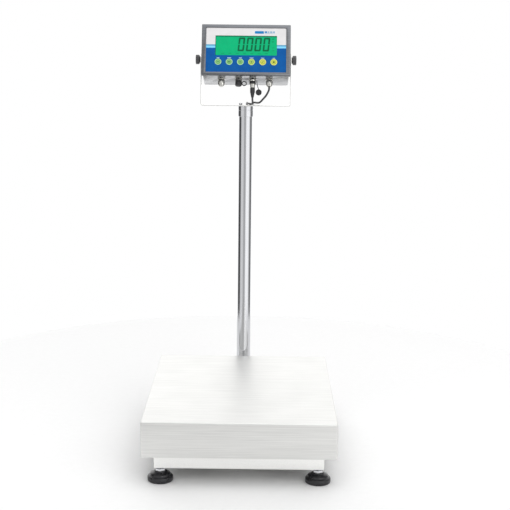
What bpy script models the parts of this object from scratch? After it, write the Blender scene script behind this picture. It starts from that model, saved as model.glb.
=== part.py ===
"""Bench scale: a weighing platform on four levelling feet, with a column and a tilting indicator.

Built in millimetres and turned to metres as each mesh is made. X runs to the right, Y to the back
and Z up. Below, y is counted from the platform's front edge; ORIGIN_Y then moves the origin to the
middle of the scale's depth, on the floor. The indicator is modelled upright around an empty on its
tilt axis, and the empty leans it back.
"""

import bmesh
import bpy
from math import cos, pi, radians, sin, sqrt
from mathutils import Matrix, Vector

MM = 0.001
GAP = 0.3                      # clearance between pieces that touch

# Weighing pan: one folded sheet, open below
PAN_WIDTH = 400
PAN_DEPTH = 500
PAN_TOP = 138
PAN_SKIRT = 75
PAN_SHEET = 2
PAN_EDGE = 3.5

# Base frame: a welded ring of inverted channel with solid corners and a centre rail
FRAME_SIDE_INSET = 25.5
FRAME_END_INSET = 18
FRAME_BOTTOM = 34
FRAME_HEIGHT = 42
BEAM_WIDTH = 30
BEAM_WALL = 3
CORNER_LENGTH = 52
RAIL_WIDTH = 90
RAIL_HEIGHT = 16
RAIL_WALL = 4

# Levelling feet
FOOT_SIDE_INSET = 37
FOOT_END_INSET = 40
PAD_RADIUS = 26.5
PAD_RIM = 10
PAD_HEIGHT = 20
STUD_RADIUS = 6
STUD_FLOOR = 14
STUD_TOP_DROP = 2
STUD_HEX_BOTTOM = 20.6
STUD_HEX_HEIGHT = 6
HEX_FLATS = 19
LOCKNUT_HEIGHT = 4.4

# Load cell and the frame that it carries
CELL_WIDTH = 40
CELL_LENGTH = 150
CELL_HEIGHT = 38
CELL_BORE = 11
CELL_BORE_SPACING = 50
CELL_BOLT_ZONE = 40
CELL_SPACER = 5.4
CELL_CLEARANCE = 0.6           # free travel under the riser block
LOAD_FRAME_HEIGHT = 27
LOAD_FRAME_WALL = 4
LOAD_FRAME_BAR = 36
LOAD_FRAME_BAR_CENTRE = 130
LOAD_FRAME_END_INSET = 35
LOAD_FRAME_HUB = 170
BUMPER_RADIUS = 15
BUMPER_HEIGHT = 4.4
BUMPER_END_INSET = 28

# Column, its foot bracket and the yoke
COLUMN_BEHIND_PAN = 40
COLUMN_RADIUS = 16.5
COLUMN_WALL = 2
COLLAR_WALL = 2
COLLAR_HEIGHT = 25
COLLAR_LID = 8
COLLAR_TOP = 740
BRACKET_WIDTH = 96
BRACKET_PLATE = 6
BRACKET_BOTTOM = 36
BRACKET_TOP = 76
BRACKET_SHELF_WIDTH = 60
SOCKET_WALL = 5
SOCKET_TOP = 106
BRACKET_BOLT_X = 34
BRACKET_BOLT_Z = 63
BRACKET_BOLT_RADIUS = 4
YOKE_SHEET = 2
YOKE_DEPTH = 40
YOKE_END_RADIUS = 15
YOKE_BEND = 6
YOKE_BOLT_X = 12
YOKE_BOLT_RADIUS = 2.5
YOKE_BOLT_HEAD = 4

# Indicator: u runs up its face from the face's bottom edge, b runs back from the face
TILT = radians(25)
PIVOT_Z = 847
PIVOT_U = 50.3
PIVOT_B = 30
BEZEL_WIDTH = 208
BEZEL_HEIGHT = 127
BEZEL_DEPTH = 10
BEZEL_WALL = 3
FACE_RECESS = 2.6
FACE_PLATE = 2
OVERLAY_WIDTH = 187
OVERLAY_HEIGHT = 110.5
OVERLAY_U = 7.4
OVERLAY_THICK = 1.4
WINDOW_WIDTH = 143.4
WINDOW_HEIGHT = 49.1
WINDOW_DROP = 19.3               # from the overlay's top edge
WINDOW_LIP = 2.6               # the bezel's ledge behind the window
KEY_COUNT = 6
KEY_RADIUS = 7.8
KEY_PITCH = 26
KEY_DROP = 85
KEY_TRAVEL = 0.4
KEY_RISE = 0.5                 # how far a key stands proud of the overlay
HOUSING_WIDTH = 200
HOUSING_HEIGHT = 119
HOUSING_BACK = 75
HOUSING_WALL = 1.8
HOUSING_EDGE = 4
BOSS_RADIUS = 13
KNOB_RADIUS = 11
KNOB_LENGTH = 11.5
KNOB_FLUTES = 12
KNOB_FLUTE_DEPTH = 0.7
SHANK_RADIUS = 3
FITTING_B = 26
FITTING_THREAD = 6
BLANK_GLAND_X = -57
DATA_X = -17
CELL_X = 16
POWER_X = 55
GLAND_RADIUS = 8
GLAND_LENGTH = 22
CELL_SOCKET_LENGTH = 10
CELL_PLUG_LENGTH = 38

# Cables
LEAD_DIAMETER = 4.4
CORD_DIAMETER = 4.6
CLIP_HEIGHTS = (600, 250)
CLIP_WIDTH = 24
CLIP_HEIGHT = 12
CABLE_X = 5.5                  # each side of the column's centre line
CABLE_BEHIND = 22.4            # behind the column's axis
BASE_GLAND_X = -60
BASE_GLAND_Z = 50
BASE_GLAND_LENGTH = 24
ROUTE_COLUMN_Y = 540           # the cables' routes are written for these three places
ROUTE_BACK = 482
ROUTE_CELL_Y = 250
COIL_X = -80
COIL_BEHIND_COLUMN = 2
COIL_RADIUS = 27
COIL_COLUMNS = 3
COIL_LAYERS = 2
ADAPTER_SIZE = (63, 43, 27)
RELIEF_LENGTH = 22
RELIEF_ROOT = 5.2
RELIEF_TIP = 3.1

# Places worked out from the sizes
half_pan = PAN_WIDTH / 2
column_y = PAN_DEPTH + COLUMN_BEHIND_PAN
frame_side = half_pan - FRAME_SIDE_INSET
frame_front = FRAME_END_INSET
frame_back = PAN_DEPTH - FRAME_END_INSET
frame_top = FRAME_BOTTOM + FRAME_HEIGHT
rail_top = FRAME_BOTTOM + RAIL_HEIGHT
cell_bottom = rail_top + GAP + CELL_SPACER + GAP
cell_top = cell_bottom + CELL_HEIGHT
cell_y = PAN_DEPTH / 2
load_frame_top = PAN_TOP - PAN_SHEET - GAP - BUMPER_HEIGHT - GAP
load_frame_bottom = load_frame_top - LOAD_FRAME_HEIGHT
foot_places = [(sx * (half_pan - FOOT_SIDE_INSET), y)
               for y in (FOOT_END_INSET, PAN_DEPTH - FOOT_END_INSET) for sx in (-1, 1)]
collar_radius = COLUMN_RADIUS + COLLAR_WALL
yoke_inner = BEZEL_WIDTH / 2 + 0.5
yoke_outer = yoke_inner + YOKE_SHEET
strap_bottom = COLLAR_TOP + GAP
strap_top = strap_bottom + YOKE_SHEET
housing_bottom = (BEZEL_HEIGHT - HOUSING_HEIGHT) / 2
housing_front = BEZEL_DEPTH + GAP
overlay_front = FACE_RECESS - GAP - OVERLAY_THICK
overlay_top = OVERLAY_U + OVERLAY_HEIGHT
window_top = overlay_top - WINDOW_DROP
window_centre = window_top - WINDOW_HEIGHT / 2
key_u = overlay_top - KEY_DROP
key_xs = [(i - (KEY_COUNT - 1) / 2) * KEY_PITCH for i in range(KEY_COUNT)]

# The rearmost point is the housing's rounded upper back corner
corner_b = HOUSING_BACK - HOUSING_EDGE - PIVOT_B
corner_u = housing_bottom + HOUSING_HEIGHT - HOUSING_EDGE - PIVOT_U
overall_depth = column_y + corner_b * cos(TILT) + corner_u * sin(TILT) + HOUSING_EDGE
ORIGIN_Y = overall_depth / 2

FINISHES = {                   # colour, roughness, metallic
    "pan_steel": ((0.62, 0.62, 0.61), 0.35, 1.0),
    "frame_steel": ((0.70, 0.70, 0.69), 0.40, 1.0),
    "tube_steel": ((0.60, 0.60, 0.60), 0.22, 1.0),
    "yoke_steel": ((0.55, 0.55, 0.54), 0.35, 1.0),
    "bolt_steel": ((0.60, 0.60, 0.60), 0.30, 1.0),
    "bezel_steel": ((0.33, 0.33, 0.33), 0.40, 1.0),
    "housing_steel": ((0.50, 0.50, 0.49), 0.38, 1.0),
    "cell_aluminium": ((0.68, 0.69, 0.70), 0.35, 1.0),
    "foot_rubber": ((0.02, 0.02, 0.02), 0.60, 0.0),
    "bumper_rubber": ((0.03, 0.03, 0.03), 0.80, 0.0),
    "knob_plastic": ((0.06, 0.06, 0.06), 0.50, 0.0),
    "cap_rubber": ((0.02, 0.02, 0.02), 0.60, 0.0),
    "gland_brass": ((0.50, 0.50, 0.48), 0.30, 1.0),
    "level_glass": ((0.55, 0.80, 0.25), 0.05, 0.0),
    "overlay_film": ((0.86, 0.86, 0.86), 0.35, 0.0),
    "window_glass": ((0.02, 0.54, 0.24), 0.10, 0.0),
    "lcd_body": ((0.10, 0.35, 0.16), 0.40, 0.0),
    "board_laminate": ((0.02, 0.18, 0.06), 0.50, 0.0),
    "battery_case": ((0.05, 0.05, 0.06), 0.50, 0.0),
    "key_film": ((0.25, 0.50, 0.08), 0.30, 0.0),
    "clip_plastic": ((0.03, 0.03, 0.03), 0.50, 0.0),
    "cable_jacket": ((0.03, 0.03, 0.03), 0.50, 0.0),
    "adapter_case": ((0.03, 0.03, 0.03), 0.45, 0.0),
}

for old in list(bpy.data.objects):
    bpy.data.objects.remove(old)

scene = bpy.context.scene
parts = bpy.data.collections.new("bench_scale")
cutters = bpy.data.collections.new("cutters")
scene.collection.children.link(parts)
scene.collection.children.link(cutters)


def finish_material(finish):
    """The Principled material of that finish, made once."""
    material = bpy.data.materials.get(finish)
    if material is None:
        colour, roughness, metallic = FINISHES[finish]
        material = bpy.data.materials.new(finish)
        material.use_nodes = True
        shader = material.node_tree.nodes["Principled BSDF"]
        shader.inputs["Base Color"].default_value = (*colour, 1.0)
        shader.inputs["Roughness"].default_value = roughness
        shader.inputs["Metallic"].default_value = metallic
    return material


def add_object(name, data, home, origin, parent, turn=(0, 0, 0)):
    """Links an object at an origin given in millimetres, under the scale's or a parent's frame."""
    obj = bpy.data.objects.new(name, data)
    home.objects.link(obj)
    place = Vector(origin)
    if parent is None:
        place.y -= ORIGIN_Y
    obj.location = place * MM
    obj.rotation_euler = turn
    obj.parent = parent
    return obj


def mesh_from(bm, name, origin):
    """A mesh in metres whose vertices are counted from the origin."""
    bm.transform(Matrix.Scale(MM, 4) @ Matrix.Translation(-Vector(origin)))
    mesh = bpy.data.meshes.new(name)
    bm.to_mesh(mesh)
    bm.free()
    return mesh


def make(name, bm, finish, origin=(0, 0, 0), parent=None, smooth=False):
    """A sub-part from a bmesh in millimetres."""
    mesh = mesh_from(bm, name, origin)
    mesh.materials.append(finish_material(finish))
    if smooth:
        mesh.shade_smooth()
        mesh.set_sharp_from_angle(angle=radians(35))
    return add_object(name, mesh, parts, origin, parent)


def combine(target, bm, operation):
    """Cuts a bmesh from the target, or joins it on, as a live Boolean."""
    origin = target.location / MM
    if target.parent is None:
        origin.y += ORIGIN_Y
    mesh = mesh_from(bm, target.name + "_" + operation.lower(), origin)
    cutter = add_object(mesh.name, mesh, cutters, origin, target.parent)
    cutter.rotation_euler = target.rotation_euler
    cutter.hide_render = True
    cutter.display_type = 'WIRE'
    modifier = target.modifiers.new(operation.title(), 'BOOLEAN')
    modifier.operation = operation
    modifier.object = cutter
    return target


def cut(target, bm):
    return combine(target, bm, 'DIFFERENCE')


def join(target, bm):
    return combine(target, bm, 'UNION')


def box(low, high):
    """A block between two corners."""
    bm = bmesh.new()
    bmesh.ops.create_cube(bm, size=1)
    low, high = Vector(low), Vector(high)
    for v in bm.verts:
        v.co = Vector([l + (c + 0.5) * (h - l) for c, l, h in zip(v.co, low, high)])
    return bm


def rod(start, end, radius, sides=32):
    """A cylinder, or a prism of few sides, between two points on its axis."""
    start, end = Vector(start), Vector(end)
    axis = end - start
    turn = axis.to_track_quat('Z', 'Y').to_matrix().to_4x4()
    bm = bmesh.new()
    bmesh.ops.create_cone(bm, cap_ends=True, segments=sides, radius1=radius, radius2=radius,
                          depth=axis.length,
                          matrix=Matrix.Translation((start + end) / 2) @ turn)
    return bm


def hexagon(start, end, flats):
    """A hexagonal prism of the given width across its flats."""
    return rod(start, end, flats / sqrt(3), sides=6)


def several(*shapes):
    """Joins separate shapes that don't touch into one bmesh."""
    together = bmesh.new()
    for bm in shapes:
        mesh = bpy.data.meshes.new("shape")
        bm.to_mesh(mesh)
        together.from_mesh(mesh)
        bpy.data.meshes.remove(mesh)
        bm.free()
    return together


def bevel_edges(obj, width, segments, limit=30):
    modifier = obj.modifiers.new("Bevel", 'BEVEL')
    modifier.width = width * MM
    modifier.segments = segments
    modifier.limit_method = 'ANGLE'
    modifier.angle_limit = radians(limit)
    return modifier


def turned(name, profile, finish, origin, parent=None, turn=(0, 0, 0), steps=32):
    """A turned piece: the profile is (radius, height) from its top to its bottom."""
    bm = bmesh.new()
    verts = [bm.verts.new((r, 0, h)) for r, h in profile]
    for a, b in zip(verts, verts[1:]):
        bm.edges.new((a, b))
    if profile[0][0] > 0:
        bm.edges.new((verts[-1], verts[0]))
    mesh = mesh_from(bm, name, (0, 0, 0))
    mesh.materials.append(finish_material(finish))
    obj = add_object(name, mesh, parts, origin, parent, turn)
    screw = obj.modifiers.new("Turn", 'SCREW')
    screw.steps = screw.render_steps = steps
    screw.use_merge_vertices = True
    screw.merge_threshold = 0.00001
    screw.use_smooth_shade = True
    return obj


def turned_cut(target, bm):
    """Cuts a turned piece with a shape given in the piece's own upright frame."""
    mesh = mesh_from(bm, target.name + "_difference", (0, 0, 0))
    cutter = add_object(mesh.name, mesh, cutters, (0, 0, 0), target.parent)
    cutter.location = target.location
    cutter.rotation_euler = target.rotation_euler
    cutter.hide_render = True
    cutter.display_type = 'WIRE'
    modifier = target.modifiers.new("Difference", 'BOOLEAN')
    modifier.operation = 'DIFFERENCE'
    modifier.object = cutter
    return target


def smooth_route(points, spacing):
    """Points an even distance apart on a smooth curve through the route's own points."""
    route = [Vector(p) for p in points]
    route = [2 * route[0] - route[1]] + route + [2 * route[-1] - route[-2]]
    dense = []
    for p0, p1, p2, p3 in zip(route, route[1:], route[2:], route[3:]):
        for k in range(24):
            t = k / 24
            dense.append(0.5 * (2 * p1 + (p2 - p0) * t + (2 * p0 - 5 * p1 + 4 * p2 - p3) * t ** 2
                                + (3 * p1 - p0 - 3 * p2 + p3) * t ** 3))
    dense.append(route[-2])
    lengths = [0.0]
    for a, b in zip(dense, dense[1:]):
        lengths.append(lengths[-1] + (b - a).length)
    count = round(lengths[-1] / spacing)
    even, at = [], 0
    for i in range(count + 1):
        want = lengths[-1] * i / count
        while at < len(dense) - 2 and lengths[at + 1] < want:
            at += 1
        share = (want - lengths[at]) / (lengths[at + 1] - lengths[at])
        even.append(dense[at].lerp(dense[at + 1], share))
    return even


def cable(name, route, diameter, spacing, finish):
    """A round cable through a route, as a bevelled curve with closed ends."""
    points = smooth_route(route, spacing)
    curve = bpy.data.curves.new(name, 'CURVE')
    curve.dimensions = '3D'
    curve.bevel_depth = diameter / 2 * MM
    curve.bevel_resolution = 2
    curve.use_fill_caps = True
    spline = curve.splines.new('POLY')
    spline.points.add(len(points) - 1)
    for slot, point in zip(spline.points, points):
        slot.co = (*(point * MM), 1)
    curve.materials.append(finish_material(finish))
    return add_object(name, curve, parts, (0, 0, 0), None)


def make_pan():
    """The platter: a top with four folded skirts, its edges rounded and its underside open."""
    bm = box((-half_pan, 0, PAN_TOP - PAN_SKIRT), (half_pan, PAN_DEPTH, PAN_TOP))
    bottom = min(bm.faces, key=lambda f: f.calc_center_median().z)
    bmesh.ops.delete(bm, geom=[bottom], context='FACES_ONLY')
    pan = make("pan", bm, "pan_steel", origin=(0, PAN_DEPTH / 2, PAN_TOP), smooth=True)
    bevel_edges(pan, PAN_EDGE, 3)
    sheet = pan.modifiers.new("Sheet", 'SOLIDIFY')
    sheet.thickness = PAN_SHEET * MM
    sheet.offset = -1


def make_load_frame():
    """Two side bars and a wide hub, pressed as one tray that is open below."""
    bar, hub, wall = LOAD_FRAME_BAR / 2, LOAD_FRAME_HUB / 2, LOAD_FRAME_WALL
    y0, y1 = LOAD_FRAME_END_INSET, PAN_DEPTH - LOAD_FRAME_END_INSET
    z0, z1 = load_frame_bottom, load_frame_top
    x = LOAD_FRAME_BAR_CENTRE
    frame = make("load_frame", box((-x, cell_y - hub, z0), (x, cell_y + hub, z1)), "frame_steel",
                 origin=(0, cell_y, z0))
    join(frame, several(*(box((s * x - bar, y0, z0), (s * x + bar, y1, z1)) for s in (-1, 1))))
    cut(frame, box((-x, cell_y - hub + wall, z0 - 1), (x, cell_y + hub - wall, z1 - wall)))
    cut(frame, several(*(box((s * x - bar + wall, y0 + wall, z0 - 1),
                             (s * x + bar - wall, y1 - wall, z1 - wall)) for s in (-1, 1))))

    places = [(s * x, y) for y in (y0 + BUMPER_END_INSET, y1 - BUMPER_END_INSET) for s in (-1, 1)]
    for i, (bx, by) in enumerate(places, 1):
        turned(f"bumper_{i}", [(0, BUMPER_HEIGHT), (BUMPER_RADIUS - 1, BUMPER_HEIGHT),
                               (BUMPER_RADIUS, BUMPER_HEIGHT - 1), (BUMPER_RADIUS, 0), (0, 0)],
               "bumper_rubber", (bx, by, z1 + GAP), steps=16)


def make_load_cell():
    """The single-point cell: a bar with a double bore, bolted low at the back, high at the front."""
    w, l, zone = CELL_WIDTH / 2, CELL_LENGTH / 2, CELL_BOLT_ZONE
    middle = (cell_bottom + cell_top) / 2
    spread = CELL_BORE_SPACING / 2
    cell = make("load_cell", box((-w, cell_y - l, cell_bottom), (w, cell_y + l, cell_top)),
                "cell_aluminium", origin=(0, cell_y, cell_bottom))
    cut(cell, several(*(rod((-w - 1, cell_y + s * spread, middle), (w + 1, cell_y + s * spread, middle),
                            CELL_BORE, sides=24) for s in (-1, 1))))
    cut(cell, box((-w - 1, cell_y - spread, middle - 3), (w + 1, cell_y + spread, middle + 3)))
    make("cell_spacer_lower", box((-w, cell_y + l - zone, rail_top + GAP),
                                  (w, cell_y + l, rail_top + GAP + CELL_SPACER)), "frame_steel")
    make("cell_spacer_upper", box((-w, cell_y - l, cell_top + CELL_CLEARANCE),
                                  (w, cell_y - l + zone, load_frame_top - LOAD_FRAME_WALL - GAP)),
         "frame_steel", origin=(0, cell_y, load_frame_bottom))


def make_base_frame():
    """The base: ring beams open below, solid corners for the feet, and a rail for the load cell."""
    side, y0, y1 = frame_side, frame_front, frame_back
    z0, z1 = FRAME_BOTTOM, frame_top
    wide, wall, rail = BEAM_WIDTH, BEAM_WALL, RAIL_WIDTH / 2
    below, above = z0 - 4, z1 + 4
    frame = make("base_frame", box((-side, y0, z0), (side, y1, z1)), "frame_steel",
                 origin=(0, cell_y, z0))
    inner_x, inner_y0, inner_y1 = side - wide, y0 + wide, y1 - wide
    cut(frame, several(*(box((min(s * rail, s * inner_x), inner_y0, below),
                             (max(s * rail, s * inner_x), inner_y1, above)) for s in (-1, 1))))
    cut(frame, box((-rail - 1, inner_y0, rail_top), (rail + 1, inner_y1, above)))
    cut(frame, box((-rail + RAIL_WALL, inner_y0, below), (rail - RAIL_WALL, inner_y1,
                                                          rail_top - RAIL_WALL)))
    channels = [box((min(s * (inner_x + wall), s * (side - wall)), y0 + CORNER_LENGTH, below),
                    (max(s * (inner_x + wall), s * (side - wall)), y1 - CORNER_LENGTH, z1 - wall))
                for s in (-1, 1)]
    corner_x = inner_x - 10
    channels.append(box((-corner_x, y0 + wall, below), (corner_x, inner_y0 - wall, z1 - wall)))
    channels.append(box((-corner_x, inner_y1 + wall, below), (corner_x, y1 - wall, z1 - wall)))
    cut(frame, several(*channels))
    cut(frame, several(*(rod((x, y, below), (x, y, above), STUD_RADIUS + GAP, sides=24)
                         for x, y in foot_places)))
    lead_hole = LEAD_DIAMETER / 2 + GAP
    cut(frame, several(rod((BASE_GLAND_X, inner_y1 - 4, BASE_GLAND_Z),
                           (BASE_GLAND_X, y1 + 4, BASE_GLAND_Z), lead_hole, sides=16),
                       *(rod((s * BRACKET_BOLT_X, y1 - wall - 4, BRACKET_BOLT_Z),
                             (s * BRACKET_BOLT_X, y1 + 4, BRACKET_BOLT_Z),
                             BRACKET_BOLT_RADIUS + GAP, sides=16) for s in (-1, 1))))

    level_y = y1 - wide / 2
    turned("bubble_level", [(0, 9), (7, 9), (9, 7.5), (9, 0), (0, 0)], "level_glass",
           (side - 80, level_y, z1 + GAP), steps=16)
    turned("base_cable_gland",
           [(lead_hole, BASE_GLAND_LENGTH), (4.5, BASE_GLAND_LENGTH), (6.5, BASE_GLAND_LENGTH - 4),
            (6.5, 7), (8, 7), (8, 0), (lead_hole, 0)], "gland_brass",
           (BASE_GLAND_X, y1 + GAP, BASE_GLAND_Z), turn=(-pi / 2, 0, 0), steps=16)


def make_feet():
    """Four feet, each a rubber pad, a stud with its adjusting hex, and a locknut."""
    pad = [(0, STUD_FLOOR), (STUD_RADIUS + GAP, STUD_FLOOR), (STUD_RADIUS + GAP, PAD_HEIGHT),
           (13, PAD_HEIGHT), (21, PAD_HEIGHT - 4), (PAD_RADIUS, PAD_RIM), (PAD_RADIUS, 0), (0, 0)]
    for i, (x, y) in enumerate(foot_places, 1):
        turned(f"foot_pad_{i}", pad, "foot_rubber", (x, y, 0), steps=24)
        stud = make(f"foot_stud_{i}", rod((x, y, STUD_FLOOR + GAP), (x, y, frame_top - STUD_TOP_DROP),
                                          STUD_RADIUS, sides=24), "bolt_steel", origin=(x, y, 0))
        join(stud, hexagon((x, y, STUD_HEX_BOTTOM), (x, y, STUD_HEX_BOTTOM + STUD_HEX_HEIGHT),
                           HEX_FLATS))
        nut_top = FRAME_BOTTOM - GAP
        nut = make(f"foot_locknut_{i}", hexagon((x, y, nut_top - LOCKNUT_HEIGHT), (x, y, nut_top),
                                                HEX_FLATS), "bolt_steel")
        cut(nut, rod((x, y, nut_top - LOCKNUT_HEIGHT - 1), (x, y, nut_top + 1),
                     STUD_RADIUS + GAP, sides=24))


def make_column():
    """The foot bracket on the base's rear beam, the tube in its socket, and the collar on top."""
    plate_front = frame_back + GAP
    plate_back = plate_front + BRACKET_PLATE
    bore = COLUMN_RADIUS + GAP
    socket = bore + SOCKET_WALL
    shelf_top = BRACKET_BOTTOM + BRACKET_PLATE
    half_shelf = BRACKET_SHELF_WIDTH / 2
    base = make("column_base", box((-BRACKET_WIDTH / 2, plate_front, BRACKET_BOTTOM),
                                   (BRACKET_WIDTH / 2, plate_back, BRACKET_TOP)), "frame_steel")
    join(base, box((-half_shelf, plate_front + 1, BRACKET_BOTTOM),
                   (half_shelf, column_y + socket + 2, shelf_top)))
    join(base, rod((0, column_y, BRACKET_BOTTOM + 1), (0, column_y, SOCKET_TOP), socket, sides=32))
    rib_top = PAN_TOP - PAN_SKIRT - 5
    join(base, box((-3, plate_back - 1, shelf_top - 1), (3, column_y - socket + 1, rib_top)))
    tube_bottom = shelf_top + 2
    cut(base, rod((0, column_y, tube_bottom), (0, column_y, SOCKET_TOP + 1), bore, sides=32))
    cut(base, several(*(rod((s * BRACKET_BOLT_X, plate_front - 1, BRACKET_BOLT_Z),
                            (s * BRACKET_BOLT_X, plate_back + 1, BRACKET_BOLT_Z),
                            BRACKET_BOLT_RADIUS + GAP, sides=16) for s in (-1, 1))))
    for i, s in enumerate((-1, 1), 1):
        x, z = s * BRACKET_BOLT_X, BRACKET_BOLT_Z
        bolt = make(f"bracket_bolt_{i}", rod((x, frame_back - BEAM_WALL - 6, z),
                                             (x, plate_back + GAP + 2, z), BRACKET_BOLT_RADIUS,
                                             sides=16), "bolt_steel")
        join(bolt, hexagon((x, plate_back + GAP, z), (x, plate_back + GAP + 5, z), 13))

    tube_top = COLLAR_TOP - COLLAR_LID - GAP
    inner = COLUMN_RADIUS - COLUMN_WALL
    height = tube_top - tube_bottom - GAP
    turned("column_tube", [(inner, height), (COLUMN_RADIUS, height), (COLUMN_RADIUS, 0), (inner, 0)],
           "tube_steel", (0, column_y, tube_bottom + GAP), steps=32)
    collar_bottom = COLLAR_TOP - COLLAR_HEIGHT
    collar = turned("column_collar",
                    [(0, COLLAR_HEIGHT), (collar_radius, COLLAR_HEIGHT), (collar_radius, 0),
                     (bore, 0), (bore, COLLAR_HEIGHT - COLLAR_LID),
                     (0, COLLAR_HEIGHT - COLLAR_LID)], "tube_steel",
                    (0, column_y, collar_bottom), steps=32)
    turned_cut(collar, several(*(rod((s * YOKE_BOLT_X, 0, COLLAR_HEIGHT - COLLAR_LID - 1),
                                     (s * YOKE_BOLT_X, 0, COLLAR_HEIGHT + 1),
                                     YOKE_BOLT_RADIUS + GAP, sides=16) for s in (-1, 1))))

    cable_y = column_y + CABLE_BEHIND
    for i, z in enumerate(CLIP_HEIGHTS, 1):
        low, high = z - CLIP_HEIGHT / 2, z + CLIP_HEIGHT / 2
        clip = make(f"cable_clip_{i}", box((-CLIP_WIDTH / 2, column_y + 8, low),
                                           (CLIP_WIDTH / 2, cable_y + 5, high)), "clip_plastic")
        cut(clip, rod((0, column_y, low - 1), (0, column_y, high + 1), COLUMN_RADIUS + GAP, sides=32))
        cut(clip, several(*(rod((x, cable_y, low - 1), (x, cable_y, high + 1), d / 2 + GAP, sides=16)
                            for x, d in ((-CABLE_X, LEAD_DIAMETER), (CABLE_X, CORD_DIAMETER)))))


def make_yoke():
    """The sheet yoke: a strap across the collar, bent up into two arms with round ends."""
    half = yoke_outer
    steps = 4
    profile = [(0.0, strap_bottom, YOKE_DEPTH / 2)]
    for k in range(steps + 1):
        angle = pi / 2 * k / steps
        profile.append((half - YOKE_BEND + YOKE_BEND * sin(angle),
                        strap_bottom + YOKE_BEND - YOKE_BEND * cos(angle), YOKE_DEPTH / 2))
    for k in range(7):
        angle = radians(80) * k / 6
        profile.append((half, PIVOT_Z + YOKE_END_RADIUS * sin(angle), YOKE_END_RADIUS * cos(angle)))
    whole = [(-x, z, w) for x, z, w in reversed(profile[1:])] + profile
    bm = bmesh.new()
    rows = [(bm.verts.new((x, column_y - w, z)), bm.verts.new((x, column_y + w, z)))
            for x, z, w in whole]
    for (a, b), (c, d) in zip(rows, rows[1:]):
        bm.faces.new((a, b, d, c))
    bmesh.ops.recalc_face_normals(bm, faces=bm.faces)
    if bm.faces[len(bm.faces) // 2].normal.z > 0:
        bmesh.ops.reverse_faces(bm, faces=bm.faces)
    yoke = make("yoke", bm, "yoke_steel", smooth=True)
    sheet = yoke.modifiers.new("Sheet", 'SOLIDIFY')
    sheet.thickness = YOKE_SHEET * MM
    sheet.offset = -1
    sheet.use_even_offset = True
    cut(yoke, rod((-half - 1, column_y, PIVOT_Z), (half + 1, column_y, PIVOT_Z),
                  SHANK_RADIUS + GAP, sides=20))
    cut(yoke, several(*(rod((s * YOKE_BOLT_X, column_y, strap_bottom - 1),
                            (s * YOKE_BOLT_X, column_y, strap_top + 1),
                            YOKE_BOLT_RADIUS + GAP, sides=16) for s in (-1, 1))))
    for i, s in enumerate((-1, 1), 1):
        x, head = s * YOKE_BOLT_X, strap_top + GAP
        bolt = make(f"yoke_bolt_{i}", rod((x, column_y, COLLAR_TOP - COLLAR_LID + 1),
                                          (x, column_y, head + 1), YOKE_BOLT_RADIUS, sides=16),
                    "bolt_steel")
        join(bolt, hexagon((x, column_y, head), (x, column_y, head + YOKE_BOLT_HEAD), 8))


def face(x, u, b):
    """A point on the indicator in its upright frame, whose origin is on the tilt axis."""
    return (x, b - PIVOT_B, u - PIVOT_U)


def slab(width, u0, u1, b0, b1, x=0):
    """A block on the indicator, given by its width, its span up the face and its span back."""
    return box(face(x - width / 2, u0, b0), face(x + width / 2, u1, b1))


def make_housing(head):
    """The rear shell, with a boss on each side for the knobs and four holes for the fittings."""
    bm = slab(HOUSING_WIDTH, housing_bottom, housing_bottom + HOUSING_HEIGHT, housing_front,
              HOUSING_BACK)
    front = min(bm.faces, key=lambda f: f.calc_center_median().y)
    bmesh.ops.delete(bm, geom=[front], context='FACES_ONLY')
    housing = make("housing", bm, "housing_steel", parent=head, smooth=True)
    bevel_edges(housing, HOUSING_EDGE, 2)
    shell = housing.modifiers.new("Shell", 'SOLIDIFY')
    shell.thickness = HOUSING_WALL * MM
    shell.offset = -1
    shell.use_even_offset = True
    boss_end = yoke_inner - GAP
    wall = HOUSING_WIDTH / 2
    join(housing, several(*(rod(face(s * (wall - 1), PIVOT_U, PIVOT_B),
                                face(s * boss_end, PIVOT_U, PIVOT_B), BOSS_RADIUS, sides=32)
                            for s in (-1, 1))))
    cut(housing, several(*(rod(face(s * (wall - 6), PIVOT_U, PIVOT_B),
                               face(s * (boss_end + 1), PIVOT_U, PIVOT_B), SHANK_RADIUS + GAP,
                               sides=20) for s in (-1, 1))))
    cut(housing, several(*(rod(face(x, housing_bottom - 1, FITTING_B),
                               face(x, housing_bottom + 4, FITTING_B), FITTING_THREAD + GAP,
                               sides=20) for x in (BLANK_GLAND_X, DATA_X, CELL_X, POWER_X))))


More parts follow.
